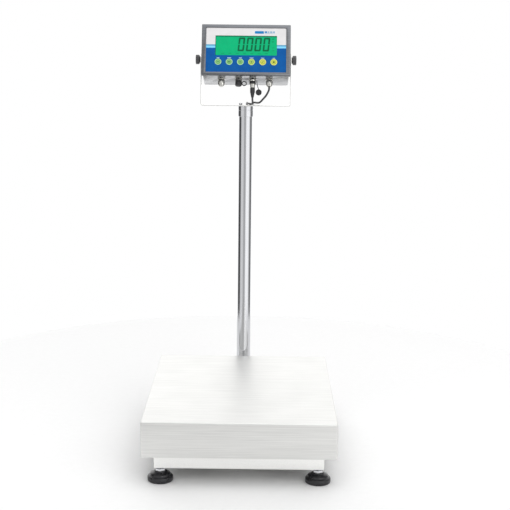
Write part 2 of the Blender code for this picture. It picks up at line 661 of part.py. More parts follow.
def make_face(head):
    """The bezel, the overlay with its window, the keys and the display behind them."""
    bezel = make("bezel", slab(BEZEL_WIDTH, 0, BEZEL_HEIGHT, 0, BEZEL_DEPTH), "bezel_steel",
                 parent=head)
    bevel_edges(bezel, 1.5, 2)
    seat = GAP
    cut(bezel, slab(OVERLAY_WIDTH + 2 * seat, OVERLAY_U - seat, overlay_top + seat, -1, FACE_RECESS))
    cut(bezel, slab(BEZEL_WIDTH - 2 * BEZEL_WALL, BEZEL_WALL, BEZEL_HEIGHT - BEZEL_WALL,
                    FACE_RECESS + FACE_PLATE, BEZEL_DEPTH + 1))
    half_window = WINDOW_HEIGHT / 2
    cut(bezel, slab(WINDOW_WIDTH - 2 * WINDOW_LIP, window_centre - half_window + WINDOW_LIP,
                    window_centre + half_window - WINDOW_LIP, FACE_RECESS - 1,
                    FACE_RECESS + FACE_PLATE + 1))

    back = overlay_front + OVERLAY_THICK
    overlay = make("overlay", slab(OVERLAY_WIDTH, OVERLAY_U, overlay_top, overlay_front, back),
                   "overlay_film", parent=head)
    cut(overlay, slab(WINDOW_WIDTH + 2 * GAP, window_centre - half_window - GAP,
                      window_centre + half_window + GAP, overlay_front - 1, back + 1))
    cut(overlay, several(*(rod(face(x, key_u, overlay_front - 1), face(x, key_u, back + 1),
                               KEY_RADIUS + GAP, sides=20) for x in key_xs)))
    make("display_window", slab(WINDOW_WIDTH, window_centre - half_window,
                                window_centre + half_window, overlay_front, back),
         "window_glass", parent=head)
    key_front = overlay_front - KEY_RISE
    key_back = FACE_RECESS - GAP - KEY_TRAVEL
    for i, x in enumerate(key_xs, 1):
        key = make(f"key_{i}", rod(face(x, key_u, key_front), face(x, key_u, key_back), KEY_RADIUS,
                                   sides=20), "key_film", origin=face(x, key_u, key_front),
                   parent=head)
        bevel_edges(key, 0.25, 1)

    lcd_front = FACE_RECESS + FACE_PLATE + GAP
    make("lcd_module", slab(WINDOW_WIDTH + 7, window_centre - 27, window_centre + 27, lcd_front,
                            lcd_front + 7), "lcd_body", parent=head)
    middle = housing_bottom + HOUSING_HEIGHT / 2
    board_b = lcd_front + 11
    make("main_board", slab(HOUSING_WIDTH - 20, middle - 48, middle + 48, board_b, board_b + 1.6),
         "board_laminate", parent=head)
    battery_top = housing_bottom + HOUSING_HEIGHT - HOUSING_WALL - 3
    battery = make("battery", slab(100, battery_top - 54, battery_top, board_b + 4,
                                   HOUSING_BACK - HOUSING_WALL - 1), "battery_case", parent=head)
    bevel_edges(battery, 1.5, 2)


def gland_profile(hole):
    """Hex nut, body and domed nut of a cable gland, from the thread inside to the tip."""
    inside = 6
    tip = -GLAND_LENGTH
    outline = [(FITTING_THREAD, inside), (FITTING_THREAD, 0), (GLAND_RADIUS + 1.5, 0),
               (GLAND_RADIUS + 1.5, -6), (GLAND_RADIUS, -6), (GLAND_RADIUS, tip + 5),
               (GLAND_RADIUS - 3, tip)]
    return [(hole, inside)] + outline + [(hole, tip)]


def make_fittings(head):
    """The four fittings under the housing, the caps, and the plug of the load cell's lead."""
    under = housing_bottom - GAP
    cord_hole = CORD_DIAMETER / 2 + GAP
    turned("blank_gland", gland_profile(0), "gland_brass", face(BLANK_GLAND_X, under, FITTING_B),
           head, steps=16)
    turned("power_gland", gland_profile(cord_hole), "gland_brass", face(POWER_X, under, FITTING_B),
           head, steps=16)
    turned("data_socket", [(0, 6), (FITTING_THREAD, 6), (FITTING_THREAD, 0), (8, 0), (8, -9), (0, -9)], "gland_brass",
           face(DATA_X, under, FITTING_B), head, steps=16)
    cap_top = under - 9 - GAP
    data_cap = make("data_cap", rod(face(DATA_X, cap_top, FITTING_B),
                                    face(DATA_X, cap_top - 11, FITTING_B), 7.6, sides=24),
                    "cap_rubber", origin=face(DATA_X, cap_top, FITTING_B), parent=head)
    loop = bmesh.new()
    bmesh.ops.create_circle(loop, segments=6, radius=1.2)
    bmesh.ops.rotate(loop, verts=loop.verts, cent=(0, 0, 0), matrix=Matrix.Rotation(pi / 2, 3, 'X'))
    bmesh.ops.translate(loop, verts=loop.verts, vec=(5.2, 0, 0))
    bmesh.ops.spin(loop, geom=loop.verts[:] + loop.edges[:], cent=(0, 0, 0), axis=(0, 0, 1),
                   angle=2 * pi, steps=16, use_merge=True)
    bmesh.ops.remove_doubles(loop, verts=loop.verts, dist=0.01)
    bmesh.ops.recalc_face_normals(loop, faces=loop.faces)
    bmesh.ops.rotate(loop, verts=loop.verts, cent=(0, 0, 0), matrix=Matrix.Rotation(pi / 2, 3, 'X'))
    bmesh.ops.translate(loop, verts=loop.verts, vec=face(DATA_X + 13.4, cap_top - 5, FITTING_B))
    join(data_cap, loop)

    turned("cell_socket", [(0, 6), (FITTING_THREAD, 6), (FITTING_THREAD, 0), (8, 0),
                           (8, -CELL_SOCKET_LENGTH), (0, -CELL_SOCKET_LENGTH)],
           "gland_brass", face(CELL_X, under, FITTING_B), head, steps=16)
    plug_top = under - CELL_SOCKET_LENGTH - GAP
    length = CELL_PLUG_LENGTH
    turned("cell_plug", [(0, 0), (7.4, 0), (7.4, -7), (5.6, -8), (5.6, -length + 12),
                         (5, -length + 10), (3.2, -length), (0, -length)], "gland_brass",
           face(CELL_X, plug_top, FITTING_B), head, steps=16)

    lanyard_x = CELL_X + 8 + 2
    hook = head.matrix_world @ (Vector(face(lanyard_x, under - 6, FITTING_B)) * MM) / MM
    hook.y += ORIGIN_Y
    cap_centre = hook + Vector((4.5, 0, -28))
    cell_cap = make("cell_cap", rod(cap_centre - Vector((0, 4, 0)), cap_centre + Vector((0, 4, 0)),
                                    7, sides=24), "cap_rubber", origin=hook)
    join(cell_cap, rod(hook, cap_centre + Vector((0, 0, 5)), 0.9, sides=8))


def make_knobs(head):
    """Two fluted clamp knobs, whose shanks pass through the yoke into the housing's bosses."""
    for name, s in (("knob_left", -1), ("knob_right", 1)):
        start, end = yoke_outer + GAP, yoke_outer + GAP + KNOB_LENGTH
        bm = rod(face(s * start, PIVOT_U, PIVOT_B), face(s * end, PIVOT_U, PIVOT_B), KNOB_RADIUS,
                 sides=KNOB_FLUTES * 2)
        for v in bm.verts:
            around = Vector((0, v.co.y, v.co.z))
            angle = around.angle(Vector((0, 0, 1)))
            around *= 1 - KNOB_FLUTE_DEPTH / KNOB_RADIUS * (1 + cos(KNOB_FLUTES * angle)) / 2
            v.co.y, v.co.z = around.y, around.z
        knob = make(name, bm, "knob_plastic", origin=face(0, PIVOT_U, PIVOT_B), parent=head,
                    smooth=True)
        join(knob, rod(face(s * (HOUSING_WIDTH / 2 - 4), PIVOT_U, PIVOT_B),
                       face(s * (start + 1), PIVOT_U, PIVOT_B), SHANK_RADIUS, sides=20))


def make_cables():
    """The load cell's lead, clipped to the column, and the power cord with its coil and adapter."""

    def placed(route):
        """The route with its y moved with the column behind the base, and with the cell inside it."""
        share = (frame_back - cell_y) / (ROUTE_BACK - ROUTE_CELL_Y)
        return [(x, y + column_y - ROUTE_COLUMN_Y if y > ROUTE_BACK
                 else cell_y + (y - ROUTE_CELL_Y) * share, z) for x, y, z in route]

    lead_route = [
        (16, 495.8, 761.7), (16.6, 493.6, 756.5), (18.5, 493, 751.6), (20, 496.5, 747.4),
        (19.5, 503.5, 745.6), (16, 511.5, 745.6), (11, 519.5, 746), (6.5, 529, 746), (4, 540, 746),
        (3.4, 553, 746.4), (2.6, 562.5, 744.8), (0.5, 569, 737.5), (-3, 569.4, 725),
        (-5.2, 565, 708), (-5.5, 562.4, 688), (-5.5, 562.4, 600), (-5.5, 562.4, 420),
        (-5.5, 562.4, 250), (-5.5, 563, 150), (-6, 568, 112), (-10, 570, 84), (-22, 567, 62),
        (-40, 556, 52.5), (-54, 540, 50), (-60, 522, 50), (-60, 500, 50), (-60, 470, 50),
        (-60, 440, 50.5), (-57, 395, 55), (-52, 350, 62), (-44, 318, 69), (-31, 301, 74.6),
        (-20.8, 300, 75)]
    cable("load_cell_lead", placed(lead_route), LEAD_DIAMETER, 15, "cable_jacket")

    coil_x, coil_y = COIL_X, column_y + COIL_BEHIND_COLUMN
    outer = COIL_RADIUS + COIL_COLUMNS * CORD_DIAMETER / 2
    inner = COIL_RADIUS - COIL_COLUMNS * CORD_DIAMETER / 2
    height = COIL_LAYERS * CORD_DIAMETER
    tangent = COIL_RADIUS + CORD_DIAMETER
    tangent_y = coil_y + tangent
    floor = CORD_DIAMETER / 2 + 0.1

    def clear_of_coil(radius):
        """How far from the coil's middle a round end on its tangent stays clear of it."""
        return sqrt((outer + GAP) ** 2 - (tangent - radius) ** 2)

    cord_route = [
        (55, 507.2, 785.9), (54.3, 504.6, 779.3), (51.3, 503.6, 772.3), (47.2, 505.1, 765.4),
        (41.2, 511.2, 758), (36, 520, 751.8), (31.7, 531.2, 748.1), (27, 541, 747.2),
        (22.5, 550, 747.1), (18, 558.5, 746.4), (13.8, 566, 743), (10.4, 571.5, 736.5),
        (8, 574.5, 727.5), (6.5, 574.5, 716.5), (5.8, 571.5, 704), (5.5, 567.5, 691),
        (5.5, 564.3, 677), (5.5, 562.8, 662), (5.5, 562.5, 640), (5.5, 562.5, 600),
        (5.5, 562.5, 420), (5.5, 562.5, 250), (6, 564, 150), (7, 568.5, 100), (8, 571, 60), (5, 572.8, 27),
        (-5, 573.4, 9)]
    on_floor = [(x, tangent_y, floor) for x in (-21, -40, coil_x + clear_of_coil(CORD_DIAMETER / 2))]
    cable("power_cord", placed(cord_route) + on_floor, CORD_DIAMETER, 14, "cable_jacket")
    turned("power_cord_coil", [(inner, height), (outer, height), (outer, 0), (inner, 0)],
           "cable_jacket", (coil_x, coil_y, 0), steps=24)

    long, wide, tall = ADAPTER_SIZE
    tip = coil_x - clear_of_coil(RELIEF_TIP)
    case_x = tip - RELIEF_LENGTH
    relief_z = CORD_DIAMETER * 1.5
    case_y = tangent_y - wide / 2
    adapter = make("power_adapter", box((case_x - long, case_y, 0), (case_x, case_y + wide, tall)),
                   "adapter_case")
    bevel_edges(adapter, 2.5, 2)
    relief = bmesh.new()
    bmesh.ops.create_cone(relief, cap_ends=True, segments=16, radius1=RELIEF_ROOT, radius2=RELIEF_TIP,
                          depth=RELIEF_LENGTH + 1,
                          matrix=Matrix.Translation((tip - (RELIEF_LENGTH + 1) / 2, tangent_y,
                                                     relief_z)) @ Matrix.Rotation(pi / 2, 4, 'Y'))
    join(adapter, relief)
    pin_x = case_x - long / 2
    join(adapter, several(*(box((pin_x - 3.2, tangent_y + s * 6.35 - 0.8, tall - 1),
                                (pin_x + 3.2, tangent_y + s * 6.35 + 0.8, tall + 16))
                            for s in (-1, 1))))


make_pan()
make_load_frame()
make_load_cell()
make_base_frame()
make_feet()
make_column()
make_yoke()

indicator_axis = add_object("indicator_axis", None, parts, (0, column_y, PIVOT_Z), None,
                            turn=(-TILT, 0, 0))
bpy.context.view_layer.update()
make_housing(indicator_axis)
make_face(indicator_axis)
make_fittings(indicator_axis)
make_knobs(indicator_axis)
make_cables()
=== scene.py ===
# %% [markdown]
# # A bench scale, from its measured frame to its looks
# The scale is a steel weighing pan on four levelling feet. A column behind the pan holds a tilting
# indicator. The frame already has every piece at its true size and joint, so this lesson gives each
# piece its fine shape and its finish, and every place is taken from the frame.

# %% Load the frame
from math import atan2, cos, hypot, pi, radians, sin, sqrt

import bmesh
import bpy
from mathutils import Matrix, Vector


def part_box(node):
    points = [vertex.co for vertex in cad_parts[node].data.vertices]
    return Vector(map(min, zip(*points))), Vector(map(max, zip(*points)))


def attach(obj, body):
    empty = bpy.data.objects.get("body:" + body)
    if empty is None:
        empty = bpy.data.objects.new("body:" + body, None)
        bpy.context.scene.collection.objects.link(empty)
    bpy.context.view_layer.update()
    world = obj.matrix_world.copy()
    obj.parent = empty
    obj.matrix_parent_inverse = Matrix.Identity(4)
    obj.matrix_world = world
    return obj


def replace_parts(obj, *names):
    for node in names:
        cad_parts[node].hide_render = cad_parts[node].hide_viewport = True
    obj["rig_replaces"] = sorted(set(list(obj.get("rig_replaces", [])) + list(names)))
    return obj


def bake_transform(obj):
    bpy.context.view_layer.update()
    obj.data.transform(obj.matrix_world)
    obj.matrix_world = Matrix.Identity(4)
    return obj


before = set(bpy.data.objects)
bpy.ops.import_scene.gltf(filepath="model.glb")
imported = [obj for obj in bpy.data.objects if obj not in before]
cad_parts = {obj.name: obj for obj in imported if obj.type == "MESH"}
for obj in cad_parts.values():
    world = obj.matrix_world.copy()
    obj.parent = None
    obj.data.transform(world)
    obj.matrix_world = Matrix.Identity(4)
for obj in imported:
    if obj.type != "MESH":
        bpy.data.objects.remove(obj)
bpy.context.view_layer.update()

# %% [markdown]
# ## Two places to work in
# Most pieces are easiest to draw in millimetres, with y counted from the pan's front edge. The
# indicator leans back, so its pieces are drawn upright around its tilt axis and leaned afterwards:
# x across, u up its face, b back from its face. Two matrices carry the finished meshes home.

# %% The two frames
MM = 0.001
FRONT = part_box("pan")[0].y
COLUMN_Y = 540
TILT = radians(25)
PIVOT_Z, PIVOT_U, PIVOT_B = 847, 50.3, 30
BASE = Matrix.Translation((0, FRONT, 0))
HEAD = Matrix.Translation((0, FRONT + COLUMN_Y * MM, PIVOT_Z * MM)) @ Matrix.Rotation(-TILT, 4, 'X')


def at(x, y, z):
    """A point given in millimetres from the pan's front edge, in the frame's metres."""
    return Vector((x * MM, FRONT + y * MM, z * MM))


def corners(node):
    """The two corners of a node's box, in millimetres from the pan's front edge."""
    return [(p - Vector((0, FRONT, 0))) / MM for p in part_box(node)]


def face(x, u, b):
    """A point on the indicator, upright around its tilt axis, in millimetres."""
    return Vector((x, b - PIVOT_B, u - PIVOT_U))


print("pan front at y =", round(FRONT, 4), "tilt axis at", [round(c, 4) for c in HEAD.translation])

# %% [markdown]
# ## Camera
# A long lens from two and a half metres away keeps the column and the pan's sides nearly straight.
# The camera stands a little above the indicator and looks down by eleven degrees.

# %% The camera
CAMERA_PLACE = at(37.69, -2247.96, 919.25)
YAW, PITCH, ROLL = radians(-0.2422), radians(10.9526), radians(-0.6228)
ahead = Vector((sin(YAW) * cos(PITCH), cos(YAW) * cos(PITCH), -sin(PITCH)))
level_right = Vector((cos(YAW), -sin(YAW), 0))
level_down = ahead.cross(level_right)
right = cos(ROLL) * level_right + sin(ROLL) * level_down
down = cos(ROLL) * level_down - sin(ROLL) * level_right
bpy.ops.object.camera_add(location=CAMERA_PLACE)
camera = bpy.context.object
camera.name = "studio_camera"
camera.matrix_world = Matrix.Translation(CAMERA_PLACE) @ Matrix(
    (right, -down, -ahead)).transposed().to_4x4()
camera.data.lens = 82.495
camera.data.sensor_width = 36
bpy.context.scene.camera = camera
print("camera", camera.data.lens, "mm at", [round(c, 3) for c in CAMERA_PLACE])

# %% [markdown]
# ## Small helpers for meshes
# An operator acts on everything that is selected, so each step first deselects all. A finished
# piece has its object at the origin and its place in its mesh, as the frame's own nodes have.

# %% Selecting, adding and cutting
def clear():
    """Object mode, with nothing selected."""
    if bpy.context.object and bpy.context.object.mode != 'OBJECT':
        bpy.ops.object.mode_set(mode='OBJECT')
    bpy.ops.object.select_all(action='DESELECT')


def pick(obj):
    """Only this object selected and active."""
    clear()
    obj.select_set(True)
    bpy.context.view_layer.objects.active = obj
    return obj


def settle(obj, place=None):
    """Moves an object to a place and writes that into its mesh."""
    if place is not None:
        obj.matrix_world = place
    bpy.ops.object.transform_apply(location=True, rotation=True, scale=True)
    return obj


def leave():
    """Back to object mode, with the selection kept."""
    bpy.ops.object.mode_set(mode='OBJECT')


def block(low, high):
    """A box between two corners in millimetres."""
    clear()
    low, high = Vector(low) * MM, Vector(high) * MM
    bpy.ops.mesh.primitive_cube_add(size=1, location=(low + high) / 2)
    obj = bpy.context.object
    obj.scale = high - low
    return settle(obj)


def slab(width, u0, u1, b0, b1, x=0):
    """A box on the indicator."""
    return block(face(x - width / 2, u0, b0), face(x + width / 2, u1, b1))


def rod(start, end, radius, sides=32):
    """A cylinder, or a prism of few sides, between two points in millimetres."""
    clear()
    start, end = Vector(start) * MM, Vector(end) * MM
    axis = end - start
    bpy.ops.mesh.primitive_cylinder_add(vertices=sides, radius=radius * MM, depth=axis.length)
    return settle(bpy.context.object, Matrix.Translation((start + end) / 2)
                  @ axis.to_track_quat('Z', 'Y').to_matrix().to_4x4())


def apply_modifier(obj, kind, **settings):
    """Adds a modifier and applies it."""
    pick(obj)
    modifier = obj.modifiers.new(kind.title(), kind)
    for name, value in settings.items():
        setattr(modifier, name, value)
    bpy.ops.object.modifier_apply(modifier=modifier.name)
    return obj


def bevel(obj, width, segments=3, angle=40):
    """Rounds the edges that are sharper than an angle."""
    return apply_modifier(obj, 'BEVEL', width=width * MM, segments=segments,
                          limit_method='ANGLE', angle_limit=radians(angle))


def boolean(obj, tools, operation='DIFFERENCE'):
    """Cuts with other objects, or joins them on, and removes them."""
    for tool in tools:
        apply_modifier(obj, 'BOOLEAN', operation=operation, object=tool, solver='EXACT')
        bpy.data.objects.remove(tool)
    return obj


def edit(obj, kind='FACE', test=None):
    """Edit mode with everything selected, or what a test picks, in millimetres: a face by its
    middle and normal, an edge by its two ends."""
    pick(obj)
    bpy.ops.object.mode_set(mode='EDIT')
    bpy.ops.mesh.select_mode(type=kind)
    bpy.ops.mesh.select_all(action='SELECT' if test is None else 'DESELECT')
    if test is not None:
        bm = bmesh.from_edit_mesh(obj.data)
        if kind == 'FACE':
            chosen = [f for f in bm.faces if test(f.calc_center_median() / MM, f.normal)]
        else:
            chosen = [e for e in bm.edges if test(*(v.co / MM for v in e.verts))]
        for part in chosen:
            part.select_set(True)
        bmesh.update_edit_mesh(obj.data)
    return obj


def crosswise(length):
    """Tests for edges that run back from the indicator's face by more than a length."""
    return lambda start, end: abs((start - end).y) > length


def inked(obj, materials, index):
    """Gives each face the material whose number its middle, in millimetres, leads to."""
    for material in materials:
        obj.data.materials.append(material)
    for polygon in obj.data.polygons:
        polygon.material_index = int(index(polygon.center / MM))
    return obj


def twin(obj, shift=(0, 0, 0)):
    """A copy with its own mesh, moved by millimetres."""
    copy = obj.copy()
    copy.data = obj.data.copy()
    bpy.context.scene.collection.objects.link(copy)
    copy.data.transform(Matrix.Translation(Vector(shift) * MM))
    return copy


def weld(threshold):
    """Joins the points that meet and turns every face outwards."""
    bpy.ops.mesh.remove_doubles(threshold=threshold)
    bpy.ops.mesh.normals_make_consistent(inside=False)
    leave()


def together(*objs):
    """Joins objects into the first one."""
    clear()
    for obj in objs:
        obj.select_set(True)
    bpy.context.view_layer.objects.active = objs[0]
    bpy.ops.object.join()
    return objs[0]


# %% [markdown]
# ## Turned pieces
# Glands, studs, pads and knobs are turned on a lathe, and the same can be done here: one vertex is
# pulled out along the profile and the line is spun around the axis. Poles are welded afterwards, and
# the normals are made to point outwards before anything else happens.

# %% A lathe
TURN_X = Matrix.Rotation(pi / 2, 4, 'Y')
TURN_BACK = Matrix.Rotation(-pi / 2, 4, 'X')
HOME = Matrix.Identity(4)


def turned(profile, centre=(0, 0, 0), turn=None, steps=48):
    """Spins a profile of (radius, height) in millimetres around an upright axis."""
    clear()
    bpy.ops.mesh.primitive_plane_add(size=MM)
    obj = bpy.context.object
    bpy.ops.object.mode_set(mode='EDIT')
    bpy.ops.mesh.select_mode(type='VERT')
    bpy.ops.mesh.select_all(action='SELECT')
    bpy.ops.mesh.merge(type='CENTER')
    bpy.ops.transform.translate(value=Vector((profile[0][0], 0, profile[0][1])) * MM)
    for (r0, h0), (r1, h1) in zip(profile, profile[1:]):
        bpy.ops.mesh.extrude_region_move(
            TRANSFORM_OT_translate={"value": Vector((r1 - r0, 0, h1 - h0)) * MM})
    bpy.ops.mesh.select_all(action='SELECT')
    bpy.ops.mesh.spin(steps=steps, angle=2 * pi, center=(0, 0, 0), axis=(0, 0, 1))
    bpy.ops.mesh.select_all(action='SELECT')
    weld(0.000005)
    return settle(obj, Matrix.Translation(Vector(centre) * MM) @ (turn or HOME))


def hexagon(start, end, flats, bore=0):
    """A chamfered hexagon, with a bore where it is a nut."""
    obj = rod(start, end, flats / sqrt(3), sides=6)
    if bore:
        boolean(obj, [rod(Vector(start) * 2 - Vector(end), Vector(end) * 2 - Vector(start), bore)])
    return bevel(obj, 0.5, 2)


def thread(radius, low, high, pitch=1.5, depth=0.6):
    """The outline of a thread, as rings a pitch apart, from the top down."""
    rings, z = [], high
    while z - pitch > low:
        rings += [(radius, z), (radius - depth, z - pitch / 2)]
        z -= pitch
    return rings + [(radius, z), (radius, low)]


# %% [markdown]
# ## Finishing a piece
# The last step is the same for all: the mesh is carried to its place, smoothed where its faces meet
# gently, given its material, and told which body it moves with and which node it stands for. Plain
# folded or welded parts start from a copy of the frame's own node: its loose triangles are merged,
# flat areas become one face again, and every edge gets the small radius that catches the light.

# %% Finish, copy and refine
def finish(obj, name, body, material, place=BASE, angle=35, replaces=()):
    """Carries a piece to its place and gives it its name, material, body and node."""
    settle(pick(obj), place)
    bpy.ops.object.shade_smooth_by_angle(angle=radians(angle))
    obj.name = obj.data.name = name
    if not obj.data.materials:
        obj.data.materials.append(material)
    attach(obj, body)
    if replaces:
        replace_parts(obj, *([replaces] if isinstance(replaces, str) else replaces))
    print(name, len(obj.data.polygons), "faces on", body)
    return obj


def copied(obj, shift, name, body, replaces):
    """A finished piece again, in another place, with its own name, body and node."""
    copy = twin(obj, shift)
    copy.parent = None
    copy.matrix_world = HOME
    if "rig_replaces" in copy:
        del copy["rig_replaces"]
    copy.name = copy.data.name = name
    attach(copy, body)
    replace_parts(copy, replaces)
    return copy


def refined(node, width, segments=2, angle=40):
    """A copy of a node's mesh, merged and given rounded edges."""
    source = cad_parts[node]
    obj = bpy.data.objects.new(node + "_fine", source.data.copy())
    bpy.context.scene.collection.objects.link(obj)
    obj.data.materials.clear()
    if obj.data.has_custom_normals:
        pick(obj)
        bpy.ops.mesh.customdata_custom_splitnormals_clear()
    edit(obj)
    bpy.ops.mesh.remove_doubles(threshold=0.00001)
    bpy.ops.mesh.dissolve_limited(angle_limit=radians(1))
    leave()
    if width:
        bevel(obj, width, segments, angle)
    return obj


print("helpers ready")

# %% [markdown]
# ## Cords come first
# A cord is a fixed length of something flexible, so its route is settled before its looks. The
# power cord leaves its gland, drops over the yoke, runs down the back of the column through two
# clips, and ends in a neat coil and its adapter behind the scale. The load cell's lead goes the
# other side of the column and into the base. The same smooth curve passes through both routes.

# %% A smooth curve through a route
def smooth_route(points, spacing):
    """Points an even distance apart on a smooth curve through the route's own points."""
    route = [Vector(p) for p in points]
    route = [2 * route[0] - route[1]] + route + [2 * route[-1] - route[-2]]
    dense = []
    for p0, p1, p2, p3 in zip(route, route[1:], route[2:], route[3:]):
        for k in range(24):
            t = k / 24
            dense.append(0.5 * (2 * p1 + (p2 - p0) * t + (2 * p0 - 5 * p1 + 4 * p2 - p3) * t ** 2
                                + (3 * p1 - p0 - 3 * p2 + p3) * t ** 3))
    dense.append(route[-2])
    lengths = [0.0]
    for a, b in zip(dense, dense[1:]):
        lengths.append(lengths[-1] + (b - a).length)
    count = round(lengths[-1] / spacing)
    even, k = [], 0
    for i in range(count + 1):
        want = lengths[-1] * i / count
        while k < len(dense) - 2 and lengths[k + 1] < want:
            k += 1
        share = (want - lengths[k]) / (lengths[k + 1] - lengths[k])
        even.append(dense[k].lerp(dense[k + 1], share))
    return even


def tube(points, diameter):
    """A round cable along points in millimetres, as a mesh with closed ends."""
    clear()
    curve = bpy.data.curves.new("cable", 'CURVE')
    curve.dimensions = '3D'
    curve.bevel_depth = diameter / 2 * MM
    curve.bevel_resolution = 4
    curve.use_fill_caps = True
    spline = curve.splines.new('POLY')
    spline.points.add(len(points) - 1)
    for slot, point in zip(spline.points, points):
        slot.co = (*(point * MM), 1)
    obj = bpy.data.objects.new("cable", curve)
    bpy.context.scene.collection.objects.link(obj)
    pick(obj)
    bpy.ops.object.convert(target='MESH')
    obj = bpy.context.object
    edit(obj)
    weld(0.000005)
    return obj


LEAD_DIAMETER, CORD_DIAMETER = 4.4, 4.6
LEAD_ROUTE = [
    (16, 495.8, 761.7), (16.1, 494.6, 759.1), (16.3, 494.1, 755.3), (16.7, 495.5, 751.4),
    (17.1, 498.3, 748.5), (17.2, 502.2, 746.9), (16.6, 506.8, 746.3), (14.6, 513.2, 746.1),
    (11.3, 520.4, 746), (7, 529, 746), (4, 540, 746),
    (3.4, 553, 746.4), (2.6, 562.5, 744.8), (0.5, 569, 737.5), (-3, 569.4, 725),
    (-5.2, 565, 708), (-5.5, 562.4, 688), (-5.5, 562.4, 600), (-5.5, 562.4, 420),
    (-5.5, 562.4, 250), (-5.5, 563, 150), (-6, 568, 112), (-10, 570, 84), (-22, 567, 62),
    (-40, 556, 52.5), (-54, 540, 50), (-60, 522, 50), (-60, 500, 50), (-60, 470, 50),
    (-60, 440, 50.5), (-57, 395, 55), (-52, 350, 62), (-44, 318, 69), (-31, 301, 74.6),
    (-20.8, 300, 75)]
lead_points = smooth_route(LEAD_ROUTE, 2.5)
print("lead", round(sum((b - a).length for a, b in zip(lead_points, lead_points[1:])), 1), "mm")

# %% The power cord's route, with its coil
COIL_X, COIL_Y = -80, 542
RADII = (31.6, 27.0, 22.4)         # the coil's three columns of turns, a diameter apart
LOW, HIGH = 2.4, 7.0               # its two layers
REAR_Y = COIL_Y + RADII[0]
ADAPTER_TIP = corners("power_adapter")[1].x
CORD_ROUTE = [
    (55, 507.2, 785.9), (54.3, 504.6, 779.3), (51.3, 503.6, 772.3), (47.2, 505.1, 765.4),
    (41.2, 511.2, 758), (36, 520, 751.8), (31.7, 531.2, 748.1), (27, 541, 747.2),
    (22.5, 550, 747.1), (18, 558.5, 746.4), (13.8, 566, 743), (10.4, 571.5, 736.5),
    (8, 574.5, 727.5), (6.5, 574.5, 716.5), (5.8, 571.5, 704), (5.5, 567.5, 691),
    (5.5, 564.3, 677), (5.5, 562.8, 662), (5.5, 562.5, 640), (5.5, 562.5, 600),
    (5.5, 562.5, 420), (5.5, 562.5, 250), (6, 564, 150), (7, 568.5, 100), (8, 571, 60),
    (5, 572.8, 27), (-5, 573.4, 9), (-21, REAR_Y, LOW), (-40, REAR_Y, LOW), (-60, REAR_Y, LOW),
    (COIL_X, REAR_Y, LOW)]
STEPS_DOWN = ((300, 360), (660, 720))          # degrees over which a lower turn moves inwards
STEPS_UP = ((1260, 1320), (1620, 1680))        # and over which an upper turn moves outwards
RISE = (960, 1020)
COIL_END = 1800


def eased(value, span):
    """0 before a span, 1 after it, and smooth between."""
    t = min(1, max(0, (value - span[0]) / (span[1] - span[0])))
    return t * t * (3 - 2 * t)


coil = []
for degrees in range(6, COIL_END + 1, 6):
    step_in = sum(eased(degrees, s) for s in STEPS_DOWN)
    step_out = sum(eased(degrees, s) for s in STEPS_UP)
    reach = RADII[0] - CORD_DIAMETER * (step_in - step_out)
    turn = radians(90 + degrees)
    coil.append(Vector((COIL_X + reach * cos(turn), COIL_Y + reach * sin(turn),
                        LOW + (HIGH - LOW) * eased(degrees, RISE))))
last = [Vector((x, REAR_Y, HIGH)) for x in (COIL_X - 8, COIL_X - 16, ADAPTER_TIP + 0.3)]
cord_points = smooth_route(CORD_ROUTE, 2.5) + coil + last

# %% [markdown]
# ## Colour and nodes
# Colours are written as sRGB hex, as a maker picks them, and one function turns them to the linear
# values that a shader takes. One small function adds a node, sets it and links it.

# %% Node helpers
def colour(hex_code):
    """An sRGB hex colour as linear values."""
    parts = [int(hex_code[i:i + 2], 16) / 255 for i in (1, 3, 5)]
    return (*(c / 12.92 if c <= 0.04045 else ((c + 0.055) / 1.055) ** 2.4 for c in parts), 1.0)


def add_node(tree, kind, inputs=None, **settings):
    """Adds a shader node with its settings; an input is a value, or an output to link from."""
    node = tree.nodes.new("ShaderNode" + kind)
    for name, value in settings.items():
        setattr(node, name, value)
    for name, value in (inputs or {}).items():
        if isinstance(value, bpy.types.NodeSocket):
            tree.links.new(value, node.inputs[name])
        else:
            node.inputs[name].default_value = value
    return node


def new_material(name, **sockets):
    """A Principled material with constants on its own sockets."""
    material = bpy.data.materials.new(name)
    material.use_nodes = True
    shader = material.node_tree.nodes["Principled BSDF"]
    for socket, value in sockets.items():
        shader.inputs[socket.replace("_", " ")].default_value = value
    return material, material.node_tree, shader


def ramp(tree, source, stops, interpolation='LINEAR'):
    """Colours laid out along a value."""
    node = add_node(tree, "ValToRGB", {"Fac": source})
    scale = node.color_ramp
    scale.interpolation = interpolation
    while len(scale.elements) < len(stops):
        scale.elements.new(1)
    for element, (place, value) in zip(scale.elements, stops):
        element.position = place
        element.color = colour(value) if isinstance(value, str) else (value, value, value, 1)
    return node.outputs["Color"]


def noise(tree, place, scale, **inputs):
    """A noise's value along a place."""
    return add_node(tree, "TexNoise", {"Vector": place, "Scale": scale, **inputs}).outputs["Fac"]


def uneven_gloss(tree, shader, wear, low, high, roughness, spread):
    """Roughness that follows a wear value, by a spread to both sides."""
    gloss = add_node(tree, "MapRange", {
        "Value": wear, "From Min": low, "From Max": high, "To Min": roughness - spread,
        "To Max": roughness + spread})
    tree.links.new(gloss.outputs["Result"], shader.inputs["Roughness"])


def bumped(tree, shader, height, depth, distance):
    """A bump from a height."""
    bump = add_node(tree, "Bump", {"Height": height, "Strength": depth, "Distance": distance})
    tree.links.new(bump.outputs["Normal"], shader.inputs["Normal"])


